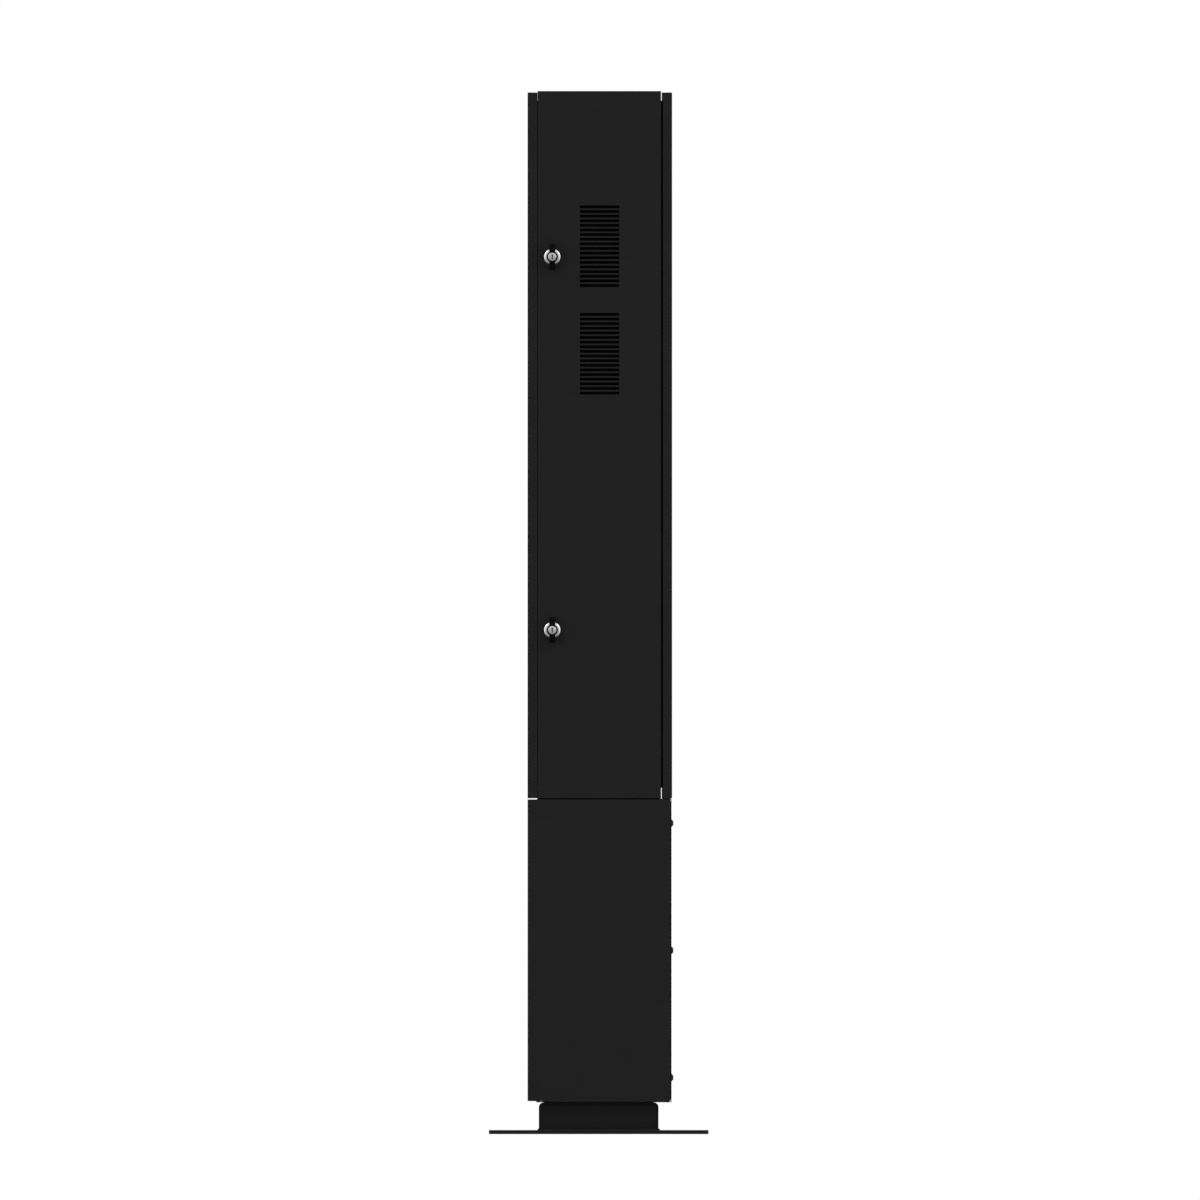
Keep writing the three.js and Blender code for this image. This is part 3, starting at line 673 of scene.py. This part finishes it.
def line_work(name, paths):
    """An object whose mesh is open paths; a path of one point is a loose point."""
    mesh = bpy.data.meshes.new(name)
    points, edges = [], []
    for path in paths:
        first = len(points)
        points.extend(tuple(point) for point in path)
        edges.extend((i, i + 1) for i in range(first, len(points) - 1))
    mesh.from_pydata(points, edges, [])
    return add_object(name, mesh)


def weld(name, paths, leg, body):
    """Rippled fillet welds along paths, coated with the sheet metal."""
    piece = grow(line_work(name, paths), weld_tree(), {
        "Leg": leg, "Ripple": bpy.context.scene.cabinet_sheet.weld_ripple,
        "Material": finish_of("powder_coat_black")})
    shade(piece.data)
    return settle(piece, body, "powder_coat_black")


def strips(name, boxes, slot, body, material=None):
    """Several small bars as one piece."""
    shape = bmesh.new()
    for low, high in boxes:
        cuboid(low, high, shape)
    return settle(placed(name, shape), body, slot, material)


def fasten(name, pattern, points, diameter, facing, body, slot, stands_for=()):
    """Puts copies of a pattern on points as one piece; the pattern is used up."""
    piece = grow(line_work(name, [[point] for point in points]), fastener_tree(), {
        "Fastener": pattern, "Head Diameter": diameter, "Facing": facing,
        "Material": finish_of(slot)})
    bpy.data.objects.remove(pattern)
    shade(piece.data)
    return settle(piece, body, slot, stands_for=stands_for)


def flanged_screw():
    """Flanged button-head screw with a hexagon socket, for a head one metre across."""
    rings = [
        (0, -0.9), (0.2, -0.9), (0.23, -0.86), (0.23, 0.0), (0.485, 0.0), (0.5, 0.015),
        (0.5, 0.05), (0.49, 0.07), (0.41, 0.092), (0.395, 0.115), (0.375, 0.15),
        (0.34, 0.19), (0.29, 0.222), (0.24, 0.242), (0.2, 0.248), (0.19, 0.25),
        (0.155, 0.235, 6), (0.155, 0.115, 6), (0, 0.105),
    ]
    return placed("flanged_screw", stacked(rings))


def pan_screw():
    """Low pan-head screw with a hexagon socket, for a head one metre across."""
    rings = [
        (0, -0.5), (0.22, -0.5), (0.22, 0.0), (0.48, 0.0), (0.5, 0.02), (0.5, 0.07),
        (0.46, 0.14), (0.37, 0.2), (0.27, 0.235), (0.24, 0.24),
        (0.19, 0.225, 6), (0.19, 0.08, 6), (0, 0.07),
    ]
    return placed("pan_screw", stacked(rings))


def sunk_screw():
    """Countersunk screw whose crown stands just proud, for a head one metre across."""
    rings = [
        (0, -0.6), (0.25, -0.6), (0.25, -0.3), (0.49, -0.02), (0.5, 0.0), (0.49, 0.02),
        (0.35, 0.06), (0.24, 0.075), (0.2, 0.065, 6), (0.2, -0.12, 6), (0, -0.13),
    ]
    return placed("sunk_screw", stacked(rings))


# ------------------------------------------------------------------ operators

def aim(item, target):
    """Turns a light or camera to face a point."""
    item.rotation_euler = (Vector(target) - item.location).to_track_quat("-Z", "Y").to_euler()


def softbox(name, place, target, size, power):
    """A rectangular area light."""
    light = bpy.data.lights.new(name, "AREA")
    light.shape = "RECTANGLE"
    light.size, light.size_y = size
    light.energy = power
    item = bpy.data.objects.new(name, light)
    bpy.context.scene.collection.objects.link(item)
    item.location = place
    aim(item, target)


def light_tent(scene):
    """A plain white backdrop to the eye, and a soft tent that is dim underneath."""
    world = bpy.data.worlds.new("light_tent")
    scene.world = world
    world.use_nodes = True
    tree = world.node_tree
    tree.nodes.clear()
    direction = add_node(tree, "ShaderNodeTexCoord").outputs["Generated"]
    axes = add_node(tree, "ShaderNodeSeparateXYZ", inputs={"Vector": direction}).outputs
    ambient = scene.cabinet_studio.ambient
    glow = add_node(tree, "ShaderNodeMapRange", inputs={
        "Value": axes["Z"], "From Min": -0.8, "From Max": 0.5,
        "To Min": ambient * 0.15, "To Max": ambient * 1.4})
    sideways = add_node(tree, "ShaderNodeMath", {"operation": "ABSOLUTE"}, {0: axes["X"]})
    lift = add_node(tree, "ShaderNodeMapRange", inputs={
        "Value": sideways.outputs["Value"], "From Min": 0.45, "From Max": 1.0,
        "To Min": 1.0, "To Max": 3.2})
    strength = add_node(tree, "ShaderNodeMath", {"operation": "MULTIPLY"}, {
        0: glow.outputs["Result"], 1: lift.outputs["Result"]})
    tent = add_node(tree, "ShaderNodeBackground", inputs={
        "Strength": strength.outputs["Value"]})
    tent.inputs["Color"].default_value = (1, 1, 1, 1)
    backdrop = add_node(tree, "ShaderNodeBackground", inputs={"Color": (1, 1, 1, 1)})
    seen = add_node(tree, "ShaderNodeLightPath").outputs["Is Camera Ray"]
    mixed = add_node(tree, "ShaderNodeMixShader", inputs={
        0: seen, 1: tent.outputs["Background"], 2: backdrop.outputs["Background"]})
    add_node(tree, "ShaderNodeOutputWorld", inputs={"Surface": mixed.outputs["Shader"]})


class CABINET_OT_stage(bpy.types.Operator):
    """Sets up the camera, the floor and the soft studio light"""

    bl_idname = "cabinet.stage"
    bl_label = "Studio"
    bl_options = {"REGISTER", "UNDO"}

    def execute(self, context):
        scene = context.scene
        studio = scene.cabinet_studio
        lens = bpy.data.cameras.new("front_camera")
        lens.type = "ORTHO"
        lens.ortho_scale = studio.view_width
        lens.clip_end = 100
        camera = bpy.data.objects.new("front_camera", lens)
        scene.collection.objects.link(camera)
        distance = 4
        camera.location = (studio.view_x, -distance, studio.view_z)
        aim(camera, (studio.view_x, 0, studio.view_z))
        scene.camera = camera
        scene.view_settings.view_transform = "Standard"

        mesh = bpy.data.meshes.new("studio_floor")
        half = 30
        corners = [(-half, -half, 0), (half, -half, 0), (half, half, 0), (-half, half, 0)]
        mesh.from_pydata(corners, [], [(0, 1, 2, 3)])
        floor = add_object("studio_floor", mesh)
        floor.data.materials.append(studio_floor(studio))
        floor.visible_glossy = False

        light_tent(scene)
        middle, panel, reach, top = (0, 0, 1), (3, 3), 6, 9
        for side in (-1, 1):
            for end in (-1, 1):
                softbox(f"softbox_{side}_{end}", (side * reach, end * reach, reach), middle,
                        panel, studio.side_power)
        softbox("top_softbox", (0, 0, top), middle, panel, studio.top_power)
        return {"FINISHED"}


class CABINET_OT_foot(bpy.types.Operator):
    """Makes the foot plate, the folded plinth and their fillet welds"""

    bl_idname = "cabinet.foot"
    bl_label = "Foot plate and plinth"
    bl_options = {"REGISTER", "UNDO"}

    def execute(self, context):
        sizes = context.scene.cabinet_sheet
        refined("base_plate", sizes.plate_edge)
        for node in ("plinth_channel", "plinth_end_front", "plinth_end_rear"):
            refined(node, sizes.edge)
        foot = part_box("base_plate")[1].z
        low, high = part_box("plinth_channel")
        front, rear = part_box("plinth_end_front")[0].y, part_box("plinth_end_rear")[1].y
        end, corner = MM, 3 * MM
        weld("plinth_foot_welds", [
            *([(x, low.y + end, foot), (x, high.y - end, foot)] for x in (low.x, high.x)),
            *([(low.x + corner, y, foot), (high.x - corner, y, foot)] for y in (front, rear)),
        ], sizes.weld_leg, "cabinet")
        weld("plinth_end_welds", [self.rim(y, foot) for y in (front, rear)], sizes.weld_leg / 3,
             "cabinet")
        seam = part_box("pedestal_floor")[0].z
        flat, inset, half = high.x - 8.5 * MM, 8 * MM, 4 * MM
        strips("plinth_seals", [
            ((-flat, y - half, high.z), (flat, y + half, seam))
            for y in (front + inset, rear - inset)], "rubber", "cabinet")
        return {"FINISHED"}

    def rim(self, y, foot):
        """The path round a plinth end, inside the folded channel."""
        low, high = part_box("plinth_end_front")
        corner, steps = 5 * MM, 6
        path = [(low.x, y, foot)]
        for x, start in ((low.x + corner, 180), (high.x - corner, 90)):
            for step in range(steps + 1):
                angle = math.radians(start - 90 * step / steps)
                path.append((x + corner * math.cos(angle), y,
                             high.z - corner + corner * math.sin(angle)))
        return [*path, (high.x, y, foot)]


class CABINET_OT_pedestal(bpy.types.Operator):
    """Makes the pedestal's wrap, floor and top, and the neck above it"""

    bl_idname = "cabinet.pedestal"
    bl_label = "Pedestal"
    bl_options = {"REGISTER", "UNDO"}

    def execute(self, context):
        scene = context.scene
        for node in ("pedestal_floor", "pedestal_shell", "pedestal_top", "neck_frame"):
            refined(node, scene.cabinet_sheet.edge)
        self.angles()
        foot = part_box("pedestal_top")[1].z
        low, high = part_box("neck_frame")
        weld("neck_welds", [
            *([(x, low.y, foot), (x, high.y, foot)] for x in (low.x, high.x)),
            *([(low.x, y, foot), (high.x, y, foot)] for y in (low.y, high.y)),
        ], scene.cabinet_sheet.weld_leg / 3, "cabinet")
        return {"FINISHED"}

    def angles(self):
        """Angle bars that tie the pedestal's walls to its floor."""
        low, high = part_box("pedestal_shell")
        clearance = 0.02 * MM
        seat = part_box("pedestal_floor")[1].z + clearance
        wall = 2 * MM + clearance
        leg, steel = 20 * MM, 1.5 * MM
        section = [(0, 0), (leg, 0), (leg, steel), (steel, steel), (steel, leg), (0, leg)]
        left, right = low.x + 25 * MM, high.x - 2.5 * MM
        middle, half_width = (left + right) / 2, (right - left) / 2
        bars = (
            ("left", (low.x + wall, 0), 0, high.y - 5 * MM),
            ("front", (middle, low.y + wall), 90, half_width),
            ("rear", (middle, high.y - wall), -90, half_width),
        )
        for place, (x, y), turn, reach in bars:
            matrix = (Matrix.Translation((x, y, seat))
                      @ Matrix.Rotation(math.radians(turn), 4, "Z"))
            bar = placed(f"pedestal_angle_{place}", prism(section, (-reach, reach)), matrix)
            settle(bar, "cabinet", "powder_coat_black")


class CABINET_OT_access_panel(bpy.types.Operator):
    """Makes the pedestal's access panel and its screws"""

    bl_idname = "cabinet.access_panel"
    bl_label = "Access panel"
    bl_options = {"REGISTER", "UNDO"}

    def execute(self, context):
        scene = context.scene
        refined("access_panel", scene.cabinet_sheet.edge)
        nodes = nodes_named("access_screw_")
        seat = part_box("access_panel")[1].x
        points = [(seat, *middle_of(node).yz) for node in nodes]
        fasten("access_panel_screws", flanged_screw(), points,
               scene.cabinet_fasteners.access_head, (1, 0, 0), BODY_OF["access_panel"],
               "black_screw", stands_for=nodes)
        low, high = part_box("pedestal_shell")
        steel, inset, narrow, wide = 1.5 * MM, 6 * MM, 2 * MM, 3 * MM
        rows = low.y + inset, high.y - inset
        strips("access_panel_seals", [
            ((high.x, y - narrow, low.z + wide), (seat - steel, y + narrow, high.z - wide))
            for y in rows], "rubber", "cabinet")
        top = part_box("access_panel")[1].z
        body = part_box("side_panel_right")[0]
        # One seal lies under the panel's hook and one on it.
        gaps = ((body.x - 2.7 * MM, high.z, top - steel), (body.x + MM, top, body.z))
        strips("hook_seals", [
            ((left, y - wide, under), (high.x, y + wide, over))
            for left, under, over in gaps for y in rows], "rubber", "cabinet")
        return {"FINISHED"}


class CABINET_OT_carcass(bpy.types.Operator):
    """Makes the carcass, the door surround with a near-black foam strip that paints the shade of the
    hinge-side gap, and the cable grommet
    """

    bl_idname = "cabinet.carcass"
    bl_label = "Carcass"
    bl_options = {"REGISTER", "UNDO"}

    def execute(self, context):
        for node in ("carcass_wrap", "carcass_top", "carcass_floor", "door_surround"):
            refined(node, context.scene.cabinet_sheet.edge)
        low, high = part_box("door_surround")
        # A near-black foam strip on the surround's face beside the hinges: seen through the door's
        # gap, it paints the gap's shade.
        width, thickness, edge = 3.6 * MM, 0.7 * MM, 0.1 * MM
        seal = ((high.x - width, low.y - thickness, low.z + MM),
                (high.x - edge, low.y - 0.02 * MM, high.z - MM))
        strips("hinge_side_seal", [seal], "rubber", "cabinet",
               gap_shade_foam(context.scene.cabinet_finishes))
        low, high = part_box("cable_grommet")
        lip = radius_of("cable_grommet")
        bore, groove = lip - 8, lip - 4.3
        face = [(bore, 0.6), (bore + 0.6, 0), (lip - 1.2, 0), (lip - 0.3, 0.5), (lip, 1.2),
                (lip, 1.7), (groove, 1.7)]
        tall = (high.z - low.z) / MM
        rings = [*face, *((radius, tall - height) for radius, height in face[::-1])]
        spot = Matrix.Translation((*middle_of("cable_grommet").xy, low.z)) @ IN_MM
        grommet = placed("cable_grommet_finished", stacked(rings, closed=True), spot)
        stand_in(grommet, "cable_grommet")
        return {"FINISHED"}


class CABINET_OT_outer_panels(bpy.types.Operator):
    """Makes the side panels, and the rear panel with its screws"""

    bl_idname = "cabinet.outer_panels"
    bl_label = "Outer panels"
    bl_options = {"REGISTER", "UNDO"}

    def execute(self, context):
        scene = context.scene
        for node in ("side_panel_left", "side_panel_right", "rear_panel"):
            refined(node, scene.cabinet_sheet.edge)
        fasteners = scene.cabinet_fasteners
        low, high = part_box("rear_panel")
        margin = 14 * MM
        rows = fasteners.rear_rows
        rise = (high.z - low.z - 2 * margin) / (rows - 1)
        points = [(x, high.y, low.z + margin + i * rise)
                  for x in (low.x + margin, high.x - margin) for i in range(rows)]
        fasten("rear_panel_screws", pan_screw(), points, fasteners.rear_head, (0, 1, 0),
               BODY_OF["rear_panel"], "black_screw")
        return {"FINISHED"}


class CABINET_OT_shelving(bpy.types.Operator):
    """Makes the shelves, their clips and the slotted uprights"""

    bl_idname = "cabinet.shelving"
    bl_label = "Shelving"
    bl_options = {"REGISTER", "UNDO"}

    def execute(self, context):
        sizes = context.scene.cabinet_sheet
        uprights = nodes_named("shelf_upright_")
        shelves = [node for node in nodes_named("shelf_") if node not in uprights]
        for node in shelves:
            refined(node, sizes.edge)
        tree = slot_tree()
        for node in uprights:
            self.slotted_upright(node, tree, sizes)
        self.clips(shelves, uprights)
        return {"FINISHED"}

    def slotted_upright(self, node, tree, sizes):
        """A flat bar with a row of slots, which hold the shelf clips."""
        low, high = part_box(node)
        piece = add_object(f"{node}_finished", mesh_of(node, cuboid(low, high)))
        count = int((high.z - low.z) / sizes.slot_pitch)
        spare = high.z - low.z - (count - 1) * sizes.slot_pitch
        first = Vector((*middle_of(node).xy, low.z + spare / 2))
        grow(piece, tree, {
            "First Slot": first, "Slots": count, "Pitch": sizes.slot_pitch,
            "Slot Width": sizes.slot_width, "Slot Length": sizes.slot_length,
            "Material": finish_of(SLOT_OF[node])})
        shade(piece.data)
        stand_in(piece, node)

    def clips(self, shelves, uprights):
        """Bent clips that hook into the uprights and carry the shelves' lips."""
        reach, drop, steel, half_width, gap = 9, 11, 1.4, 6, 0.1
        outline = [(gap, 0), (reach, 0), (reach, -steel), (steel + gap, -steel),
                   (steel + gap, -drop), (gap, -drop)]
        for side, facing in (("left", 1), ("right", -1)):
            hooks = [n for n in uprights if f"_{side}_" in n]
            points = []
            for shelf in shelves:
                for upright in hooks:
                    low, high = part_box(upright)
                    x = high.x if facing > 0 else low.x
                    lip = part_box(shelf)[0].z - 0.3 * MM
                    points.append((x, (low.y + high.y) / 2, lip))
            profile = [(facing * x, z) for x, z in outline]
            pattern = placed("shelf_clip", prism(profile, (-half_width, half_width)), IN_MM)
            fasten(f"shelf_clips_{side}", pattern, points, 1.0, (0, 0, 1), "cabinet",
                   "zinc_plated")


class CABINET_OT_door(bpy.types.Operator):
    """Makes the door's skin, stiffening frame and gasket"""

    bl_idname = "cabinet.door"
    bl_label = "Door"
    bl_options = {"REGISTER", "UNDO"}

    def execute(self, context):
        sizes = context.scene.cabinet_sheet
        refined("door_skin", sizes.edge)
        refined("door_inner_frame", sizes.edge)
        refined("door_gasket", sizes.gasket_edge)
        return {"FINISHED"}


class CABINET_OT_vents(bpy.types.Operator):
    """Makes each vent's cassette, filter mat and wire grid"""

    bl_idname = "cabinet.vents"
    bl_label = "Vents"
    bl_options = {"REGISTER", "UNDO"}

    def execute(self, context):
        sizes = context.scene.cabinet_sheet
        tree = grid_tree()
        for place in ("upper", "lower"):
            frame_node = f"vent_frame_{place}"
            mat_node = f"filter_mat_{place}"
            refined(frame_node, sizes.edge)
            self.mat(mat_node, sizes.fleece_step)
            self.grid(place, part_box(frame_node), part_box(mat_node), tree, sizes)
        return {"FINISHED"}

    def mat(self, node, step):
        """A flat pad of fleece with an uneven face."""
        low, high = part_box(node)
        size = high - low
        across, up = round(size.x / step), round(size.z / step)
        shape = bmesh.new()
        sheets = []
        depth, lump = 0.7 * MM, 1.7 * step
        for y, deepest in ((low.y, depth), (high.y, -depth)):
            rows = [[] for _ in range(up + 1)]
            for k, row in enumerate(rows):
                for i in range(across + 1):
                    spot = Vector((low.x + size.x * i / across, y, low.z + size.z * k / up))
                    inside = 0 < i < across and 0 < k < up
                    dent = 0.5 + 0.5 * noise.noise(spot / lump) if inside else 1
                    row.append(shape.verts.new(spot + Vector((0, deepest * dent, 0))))
            for lower, upper in zip(rows, rows[1:]):
                for i in range(across):
                    shape.faces.new([lower[i], lower[i + 1], upper[i + 1], upper[i]])
            sheets.append(rows)
        front, back = ([
            *rows[0], *[row[-1] for row in rows[1:]],
            *rows[-1][-2::-1], *[row[0] for row in rows[-2:0:-1]]] for rows in sheets)
        side_walls(shape, front, back)
        piece = placed(f"{node}_finished", shape)
        stand_in(piece, node)

    def grid(self, place, cassette, mat, tree, sizes):
        """Crossed wires in the cassette's rear mouth."""
        inset = 7 * MM
        low, high = cassette
        left, right = low.x + inset, high.x - inset
        bottom, top = low.z + inset, high.z - inset
        y = (mat[1].y + high.y) / 2
        across = max(2, round((right - left) / sizes.wire_gap))
        up = max(2, round((top - bottom) / sizes.wire_gap))
        lines = []
        for i in range(1, across):
            x = left + (right - left) * i / across
            lines.append([(x, y, bottom), (x, y, top)])
        for k in range(1, up):
            z = bottom + (top - bottom) * k / up
            lines.append([(left, y, z), (right, y, z)])
        piece = grow(line_work(f"vent_grid_{place}", lines), tree, {
            "Wire": sizes.wire, "Material": finish_of("zinc_plated")})
        shade(piece.data)
        settle(piece, "door", "zinc_plated")


class CABINET_OT_hinges(bpy.types.Operator):
    """Makes the gooseneck hinges and their screws"""

    bl_idname = "cabinet.hinges"
    bl_label = "Hinges"
    bl_options = {"REGISTER", "UNDO"}

    def execute(self, context):
        diameter = context.scene.cabinet_fasteners.hinge_head
        black = black_zinc(context.scene.cabinet_finishes)
        arms, brackets, pins = (
            nodes_named(f"hinge_{part}_") for part in ("arm", "bracket", "pin"))
        for node in arms + brackets + pins:
            refined(node, context.scene.cabinet_sheet.hinge_edge, black)
        self.screws("hinge_arm_screws", arms, diameter, 8.2 * MM)
        self.screws("hinge_bracket_screws", brackets, diameter, -12 * MM)
        return {"FINISHED"}

    def screws(self, name, nodes, diameter, inset):
        """Two countersunk screws in each left leaf, inset from its front or, if minus, its back."""
        steel, rise = 2.5 * MM, 17 * MM
        points = []
        for node in nodes:
            low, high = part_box(node)
            y = (low.y if inset > 0 else high.y) + inset
            middle = middle_of(node).z
            points += [(low.x + steel, y, middle - rise), (low.x + steel, y, middle + rise)]
        fasten(name, sunk_screw(), points, diameter, (1, 0, 0), BODY_OF[nodes[0]],
               "zinc_plated")


def lock_matrix(lock):
    """Places a shape drawn in millimetres about Z on a lock, with Z zero at the door's face."""
    spot = middle_of(f"{lock}_lock_rosette")
    spot.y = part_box("door_skin")[0].y
    return Matrix.Translation(spot) @ FRONTWARD @ IN_MM


def lock_heights(node):
    """The heights of a node's back and front over the door's face, in millimetres."""
    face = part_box("door_skin")[0].y
    low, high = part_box(node)
    return (face - high.y) / MM, (face - low.y) / MM


def turned(lock, part, rings, **form):
    """A turned piece on a lock's axis."""
    return placed(f"{lock}_{part}", stacked(rings, **form), lock_matrix(lock))


class CABINET_OT_locks(bpy.types.Operator):
    """Makes the rosettes, wing knobs, key plugs, housings, nuts and cams"""

    bl_idname = "cabinet.locks"
    bl_label = "Locks"
    bl_options = {"REGISTER", "UNDO"}

    def execute(self, context):
        scene = context.scene
        for lock in LOCKS:
            self.rosette(lock)
            self.housing(lock, scene.cabinet_lock.thread_pitch / MM)
            self.nut(lock, scene.cabinet_fasteners.nut_flats / (2 * MM))
            self.knob(lock, scene.cabinet_lock.wing_round / MM)
            self.plug(lock, scene)
            refined(f"{lock}_lock_cam", scene.cabinet_sheet.edge)
            self.cam_screw(lock)
        return {"FINISHED"}

    def rosette(self, lock):
        """A coned ring: its slope catches the overhead light above and goes dark below."""
        outer = radius_of(f"{lock}_lock_rosette")
        bore = radius_of(f"{lock}_wing_knob") + 0.3
        profile = [
            (0.12, 1.1), (1, 1.1), (1, 2.0), (0.985, 2.3), (0.94, 2.6), (0.86, 2.95),
            (0.6, 3.4), (0.34, 3.72), (0.22, 3.86), (0.12, 3.94), (0.05, 3.9), (0.01, 3.75),
            (0, 3.55), (0, 1.1),
        ]
        width = outer - 0.6 - bore
        rings = [(bore + share * width, height) for share, height in profile]
        piece = turned(lock, "lock_rosette_finished", rings, closed=True)
        stand_in(piece, f"{lock}_lock_rosette")
        washer = [(bore, 0), (outer, 0), (outer, 0.8), (outer - 0.25, 1.05), (bore, 1.05)]
        settle(turned(lock, "lock_gasket", washer, closed=True), "door", "rubber")

    def housing(self, lock, pitch):
        """The threaded barrel behind the rosette."""
        outer = radius_of(f"{lock}_lock_housing")
        back, front = lock_heights(f"{lock}_lock_housing")
        depth = front - back
        bore, root = 7.2, outer - 0.45
        rings = [(bore, 0), (outer, 0)]
        for i in range(int((depth - 2.5) / pitch)):
            start = -2.2 - i * pitch
            rings += [(radius, start - share * pitch)
                      for radius, share in ((outer, 0.15), (root, 0.5), (outer, 0.85))]
        rings += [(outer - 0.5, -depth), (bore, -depth)]
        piece = turned(lock, "lock_housing_finished", rings, closed=True)
        stand_in(piece, f"{lock}_lock_housing")

    def nut(self, lock, flats):
        """The nut that clamps the housing to the door's skin."""
        hole = radius_of(f"{lock}_lock_housing") + 0.1
        front, back, chamfer = -2.3, -6.3, 0.4
        rings = [
            (hole, front), (flats - chamfer, front), (flats, front - 0.5, 6),
            (flats, back + 0.5, 6), (flats - chamfer, back), (hole, back),
        ]
        piece = turned(lock, "lock_nut", rings, closed=True, twist=math.radians(30))
        settle(piece, "door", "zinc_plated")

    def knob(self, lock, rounding):
        """The boss with its two wings, the shaft and the square tenon."""
        node = f"{lock}_wing_knob"
        low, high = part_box(node)
        boss = radius_of(node)
        tip = (high.z - low.z) / (2 * MM)
        bore = radius_of(f"{lock}_key_plug") + 0.3
        shaft, foot, crown, floor = 6.9, -26.4, 20, 7.2
        rings = [
            (0, foot), (shaft, foot), (shaft, 0.3), (boss - 0.3, 0.3), (boss, 0.6),
            (boss, crown - 1.1), (boss - 0.1, crown - 0.7), (boss - 0.35, crown - 0.33),
            (boss - 0.7, crown - 0.1), (boss - 1.1, crown), (bore + 0.35, crown),
            (bore, crown - 0.35), (bore, floor), (0, floor),
        ]
        piece = turned(lock, "wing_knob_finished", rings)
        matrix = lock_matrix(lock)
        wings = [self.wing(matrix, boss, tip, side, rounding) for side in (1, -1)]
        half, end = 3.5, lock_heights(node)[0]
        tenon = placed("tenon", cuboid((-half, -half, end), (half, half, foot + 0.4)), matrix)
        combine(piece, [*wings, tenon], "UNION")
        stand_in(piece, node)

    def wing(self, matrix, boss, tip, side, rounding):
        """One wing: it widens from a narrow waist to a round tip, and thins a little."""
        root = boss - 1.2
        waist, wide, sagitta = 4.9, 6.5, 2
        back, front, fall = 7, 18, 1.6
        radius = (wide ** 2 + sagitta ** 2) / (2 * sagitta)
        sweep = math.asin(wide / radius)
        steps = 10
        outline = [(-waist, root), (waist, root)]
        for i in range(steps + 1):
            angle = math.pi / 2 - sweep + 2 * sweep * i / steps
            outline.append((radius * math.cos(angle), tip - radius + radius * math.sin(angle)))
        shape = bmesh.new()
        lower = [shape.verts.new((x, side * r, back)) for x, r in outline]
        upper = [shape.verts.new((x, side * r, front - fall * (r - root) / (tip - root)))
                 for x, r in outline]
        closed_body(shape, lower, upper)
        bmesh.ops.recalc_face_normals(shape, faces=shape.faces)
        sharp = [e for e in shape.edges if e.calc_face_angle() > EDGE_ANGLE]
        bmesh.ops.bevel(shape, geom=sharp, offset=rounding, segments=4, profile=0.5,
                        affect="EDGES")
        return placed("wing", shape, matrix)

    def plug(self, lock, scene):
        """The key plug with its slot, which ends in a round hole."""
        node = f"{lock}_key_plug"
        radius = radius_of(node)
        foot, crown = lock_heights(node)
        rings = [
            (0, foot), (radius, foot), (radius, crown - 0.5), (radius - 0.15, crown - 0.18),
            (radius - 0.5, crown), (0, crown),
        ]
        piece = turned(lock, "key_plug_finished", rings)
        matrix = lock_matrix(lock)
        half = scene.cabinet_lock.key_slot / (2 * MM)
        end = scene.cabinet_lock.key_end / MM
        deep, above = foot - 1, crown + 1
        bottom, shoulder, top = -2.9, 2.9, 3.9
        cutters = [
            placed("slot", cuboid((-half, bottom, deep), (half, top, above)), matrix),
            placed("head", cuboid((-1.5 * half, shoulder, deep), (1.5 * half, top, above)), matrix),
            placed("hole", stacked([(0, deep), (end, deep), (end, above), (0, above)]),
                   matrix @ Matrix.Translation((0, bottom - 0.2, 0))),
        ]
        combine(piece, cutters, "DIFFERENCE")
        stand_in(piece, node, turned_chrome(scene.cabinet_finishes, lock))

    def cam_screw(self, lock):
        """A washer and a hexagon head that hold the cam on its tenon."""
        seat = lock_heights(f"{lock}_lock_cam")[0] - 0.2
        washer, head = 6.4, 4
        rings = [
            (0, seat), (washer - 0.2, seat), (washer, seat - 0.2), (washer, seat - 1),
            (head + 0.4, seat - 1.05), (head, seat - 1.3, 6), (head, seat - 4.2, 6),
            (head - 0.4, seat - 4.6), (0, seat - 4.6),
        ]
        settle(turned(lock, "cam_screw", rings), BODY_OF[f"{lock}_lock_cam"], "zinc_plated")


# --------------------------------------------------------------- registration

OPERATORS = (
    CABINET_OT_stage,
    CABINET_OT_foot,
    CABINET_OT_pedestal,
    CABINET_OT_access_panel,
    CABINET_OT_carcass,
    CABINET_OT_outer_panels,
    CABINET_OT_shelving,
    CABINET_OT_door,
    CABINET_OT_vents,
    CABINET_OT_hinges,
    CABINET_OT_locks,
)
SETTINGS = {
    "cabinet_sheet": CABINET_PG_sheet,
    "cabinet_fasteners": CABINET_PG_fasteners,
    "cabinet_lock": CABINET_PG_lock,
    "cabinet_finishes": CABINET_PG_finishes,
    "cabinet_studio": CABINET_PG_studio,
}


class CABINET_PT_pieces(bpy.types.Panel):
    """Lists the cabinet's makers and their settings"""

    bl_label = "Locker cabinet"
    bl_idname = "CABINET_PT_pieces"
    bl_space_type = "VIEW_3D"
    bl_region_type = "UI"
    bl_category = "Cabinet"

    def draw(self, context):
        for operator in OPERATORS:
            self.layout.operator(operator.bl_idname)
        for name, group in SETTINGS.items():
            box = self.layout.box()
            for prop in group.__annotations__:
                box.prop(getattr(context.scene, name), prop)


def register():
    for item in (*SETTINGS.values(), *OPERATORS, CABINET_PT_pieces):
        bpy.utils.register_class(item)
    for name, group in SETTINGS.items():
        setattr(bpy.types.Scene, name, PointerProperty(type=group))


def unregister():
    for name in SETTINGS:
        delattr(bpy.types.Scene, name)
    for item in reversed((*SETTINGS.values(), *OPERATORS, CABINET_PT_pieces)):
        bpy.utils.unregister_class(item)


def main():
    register()
    for operator in OPERATORS:
        group, name = operator.bl_idname.split(".")
        getattr(getattr(bpy.ops, group), name)()


if __name__ == "__main__":
    main()
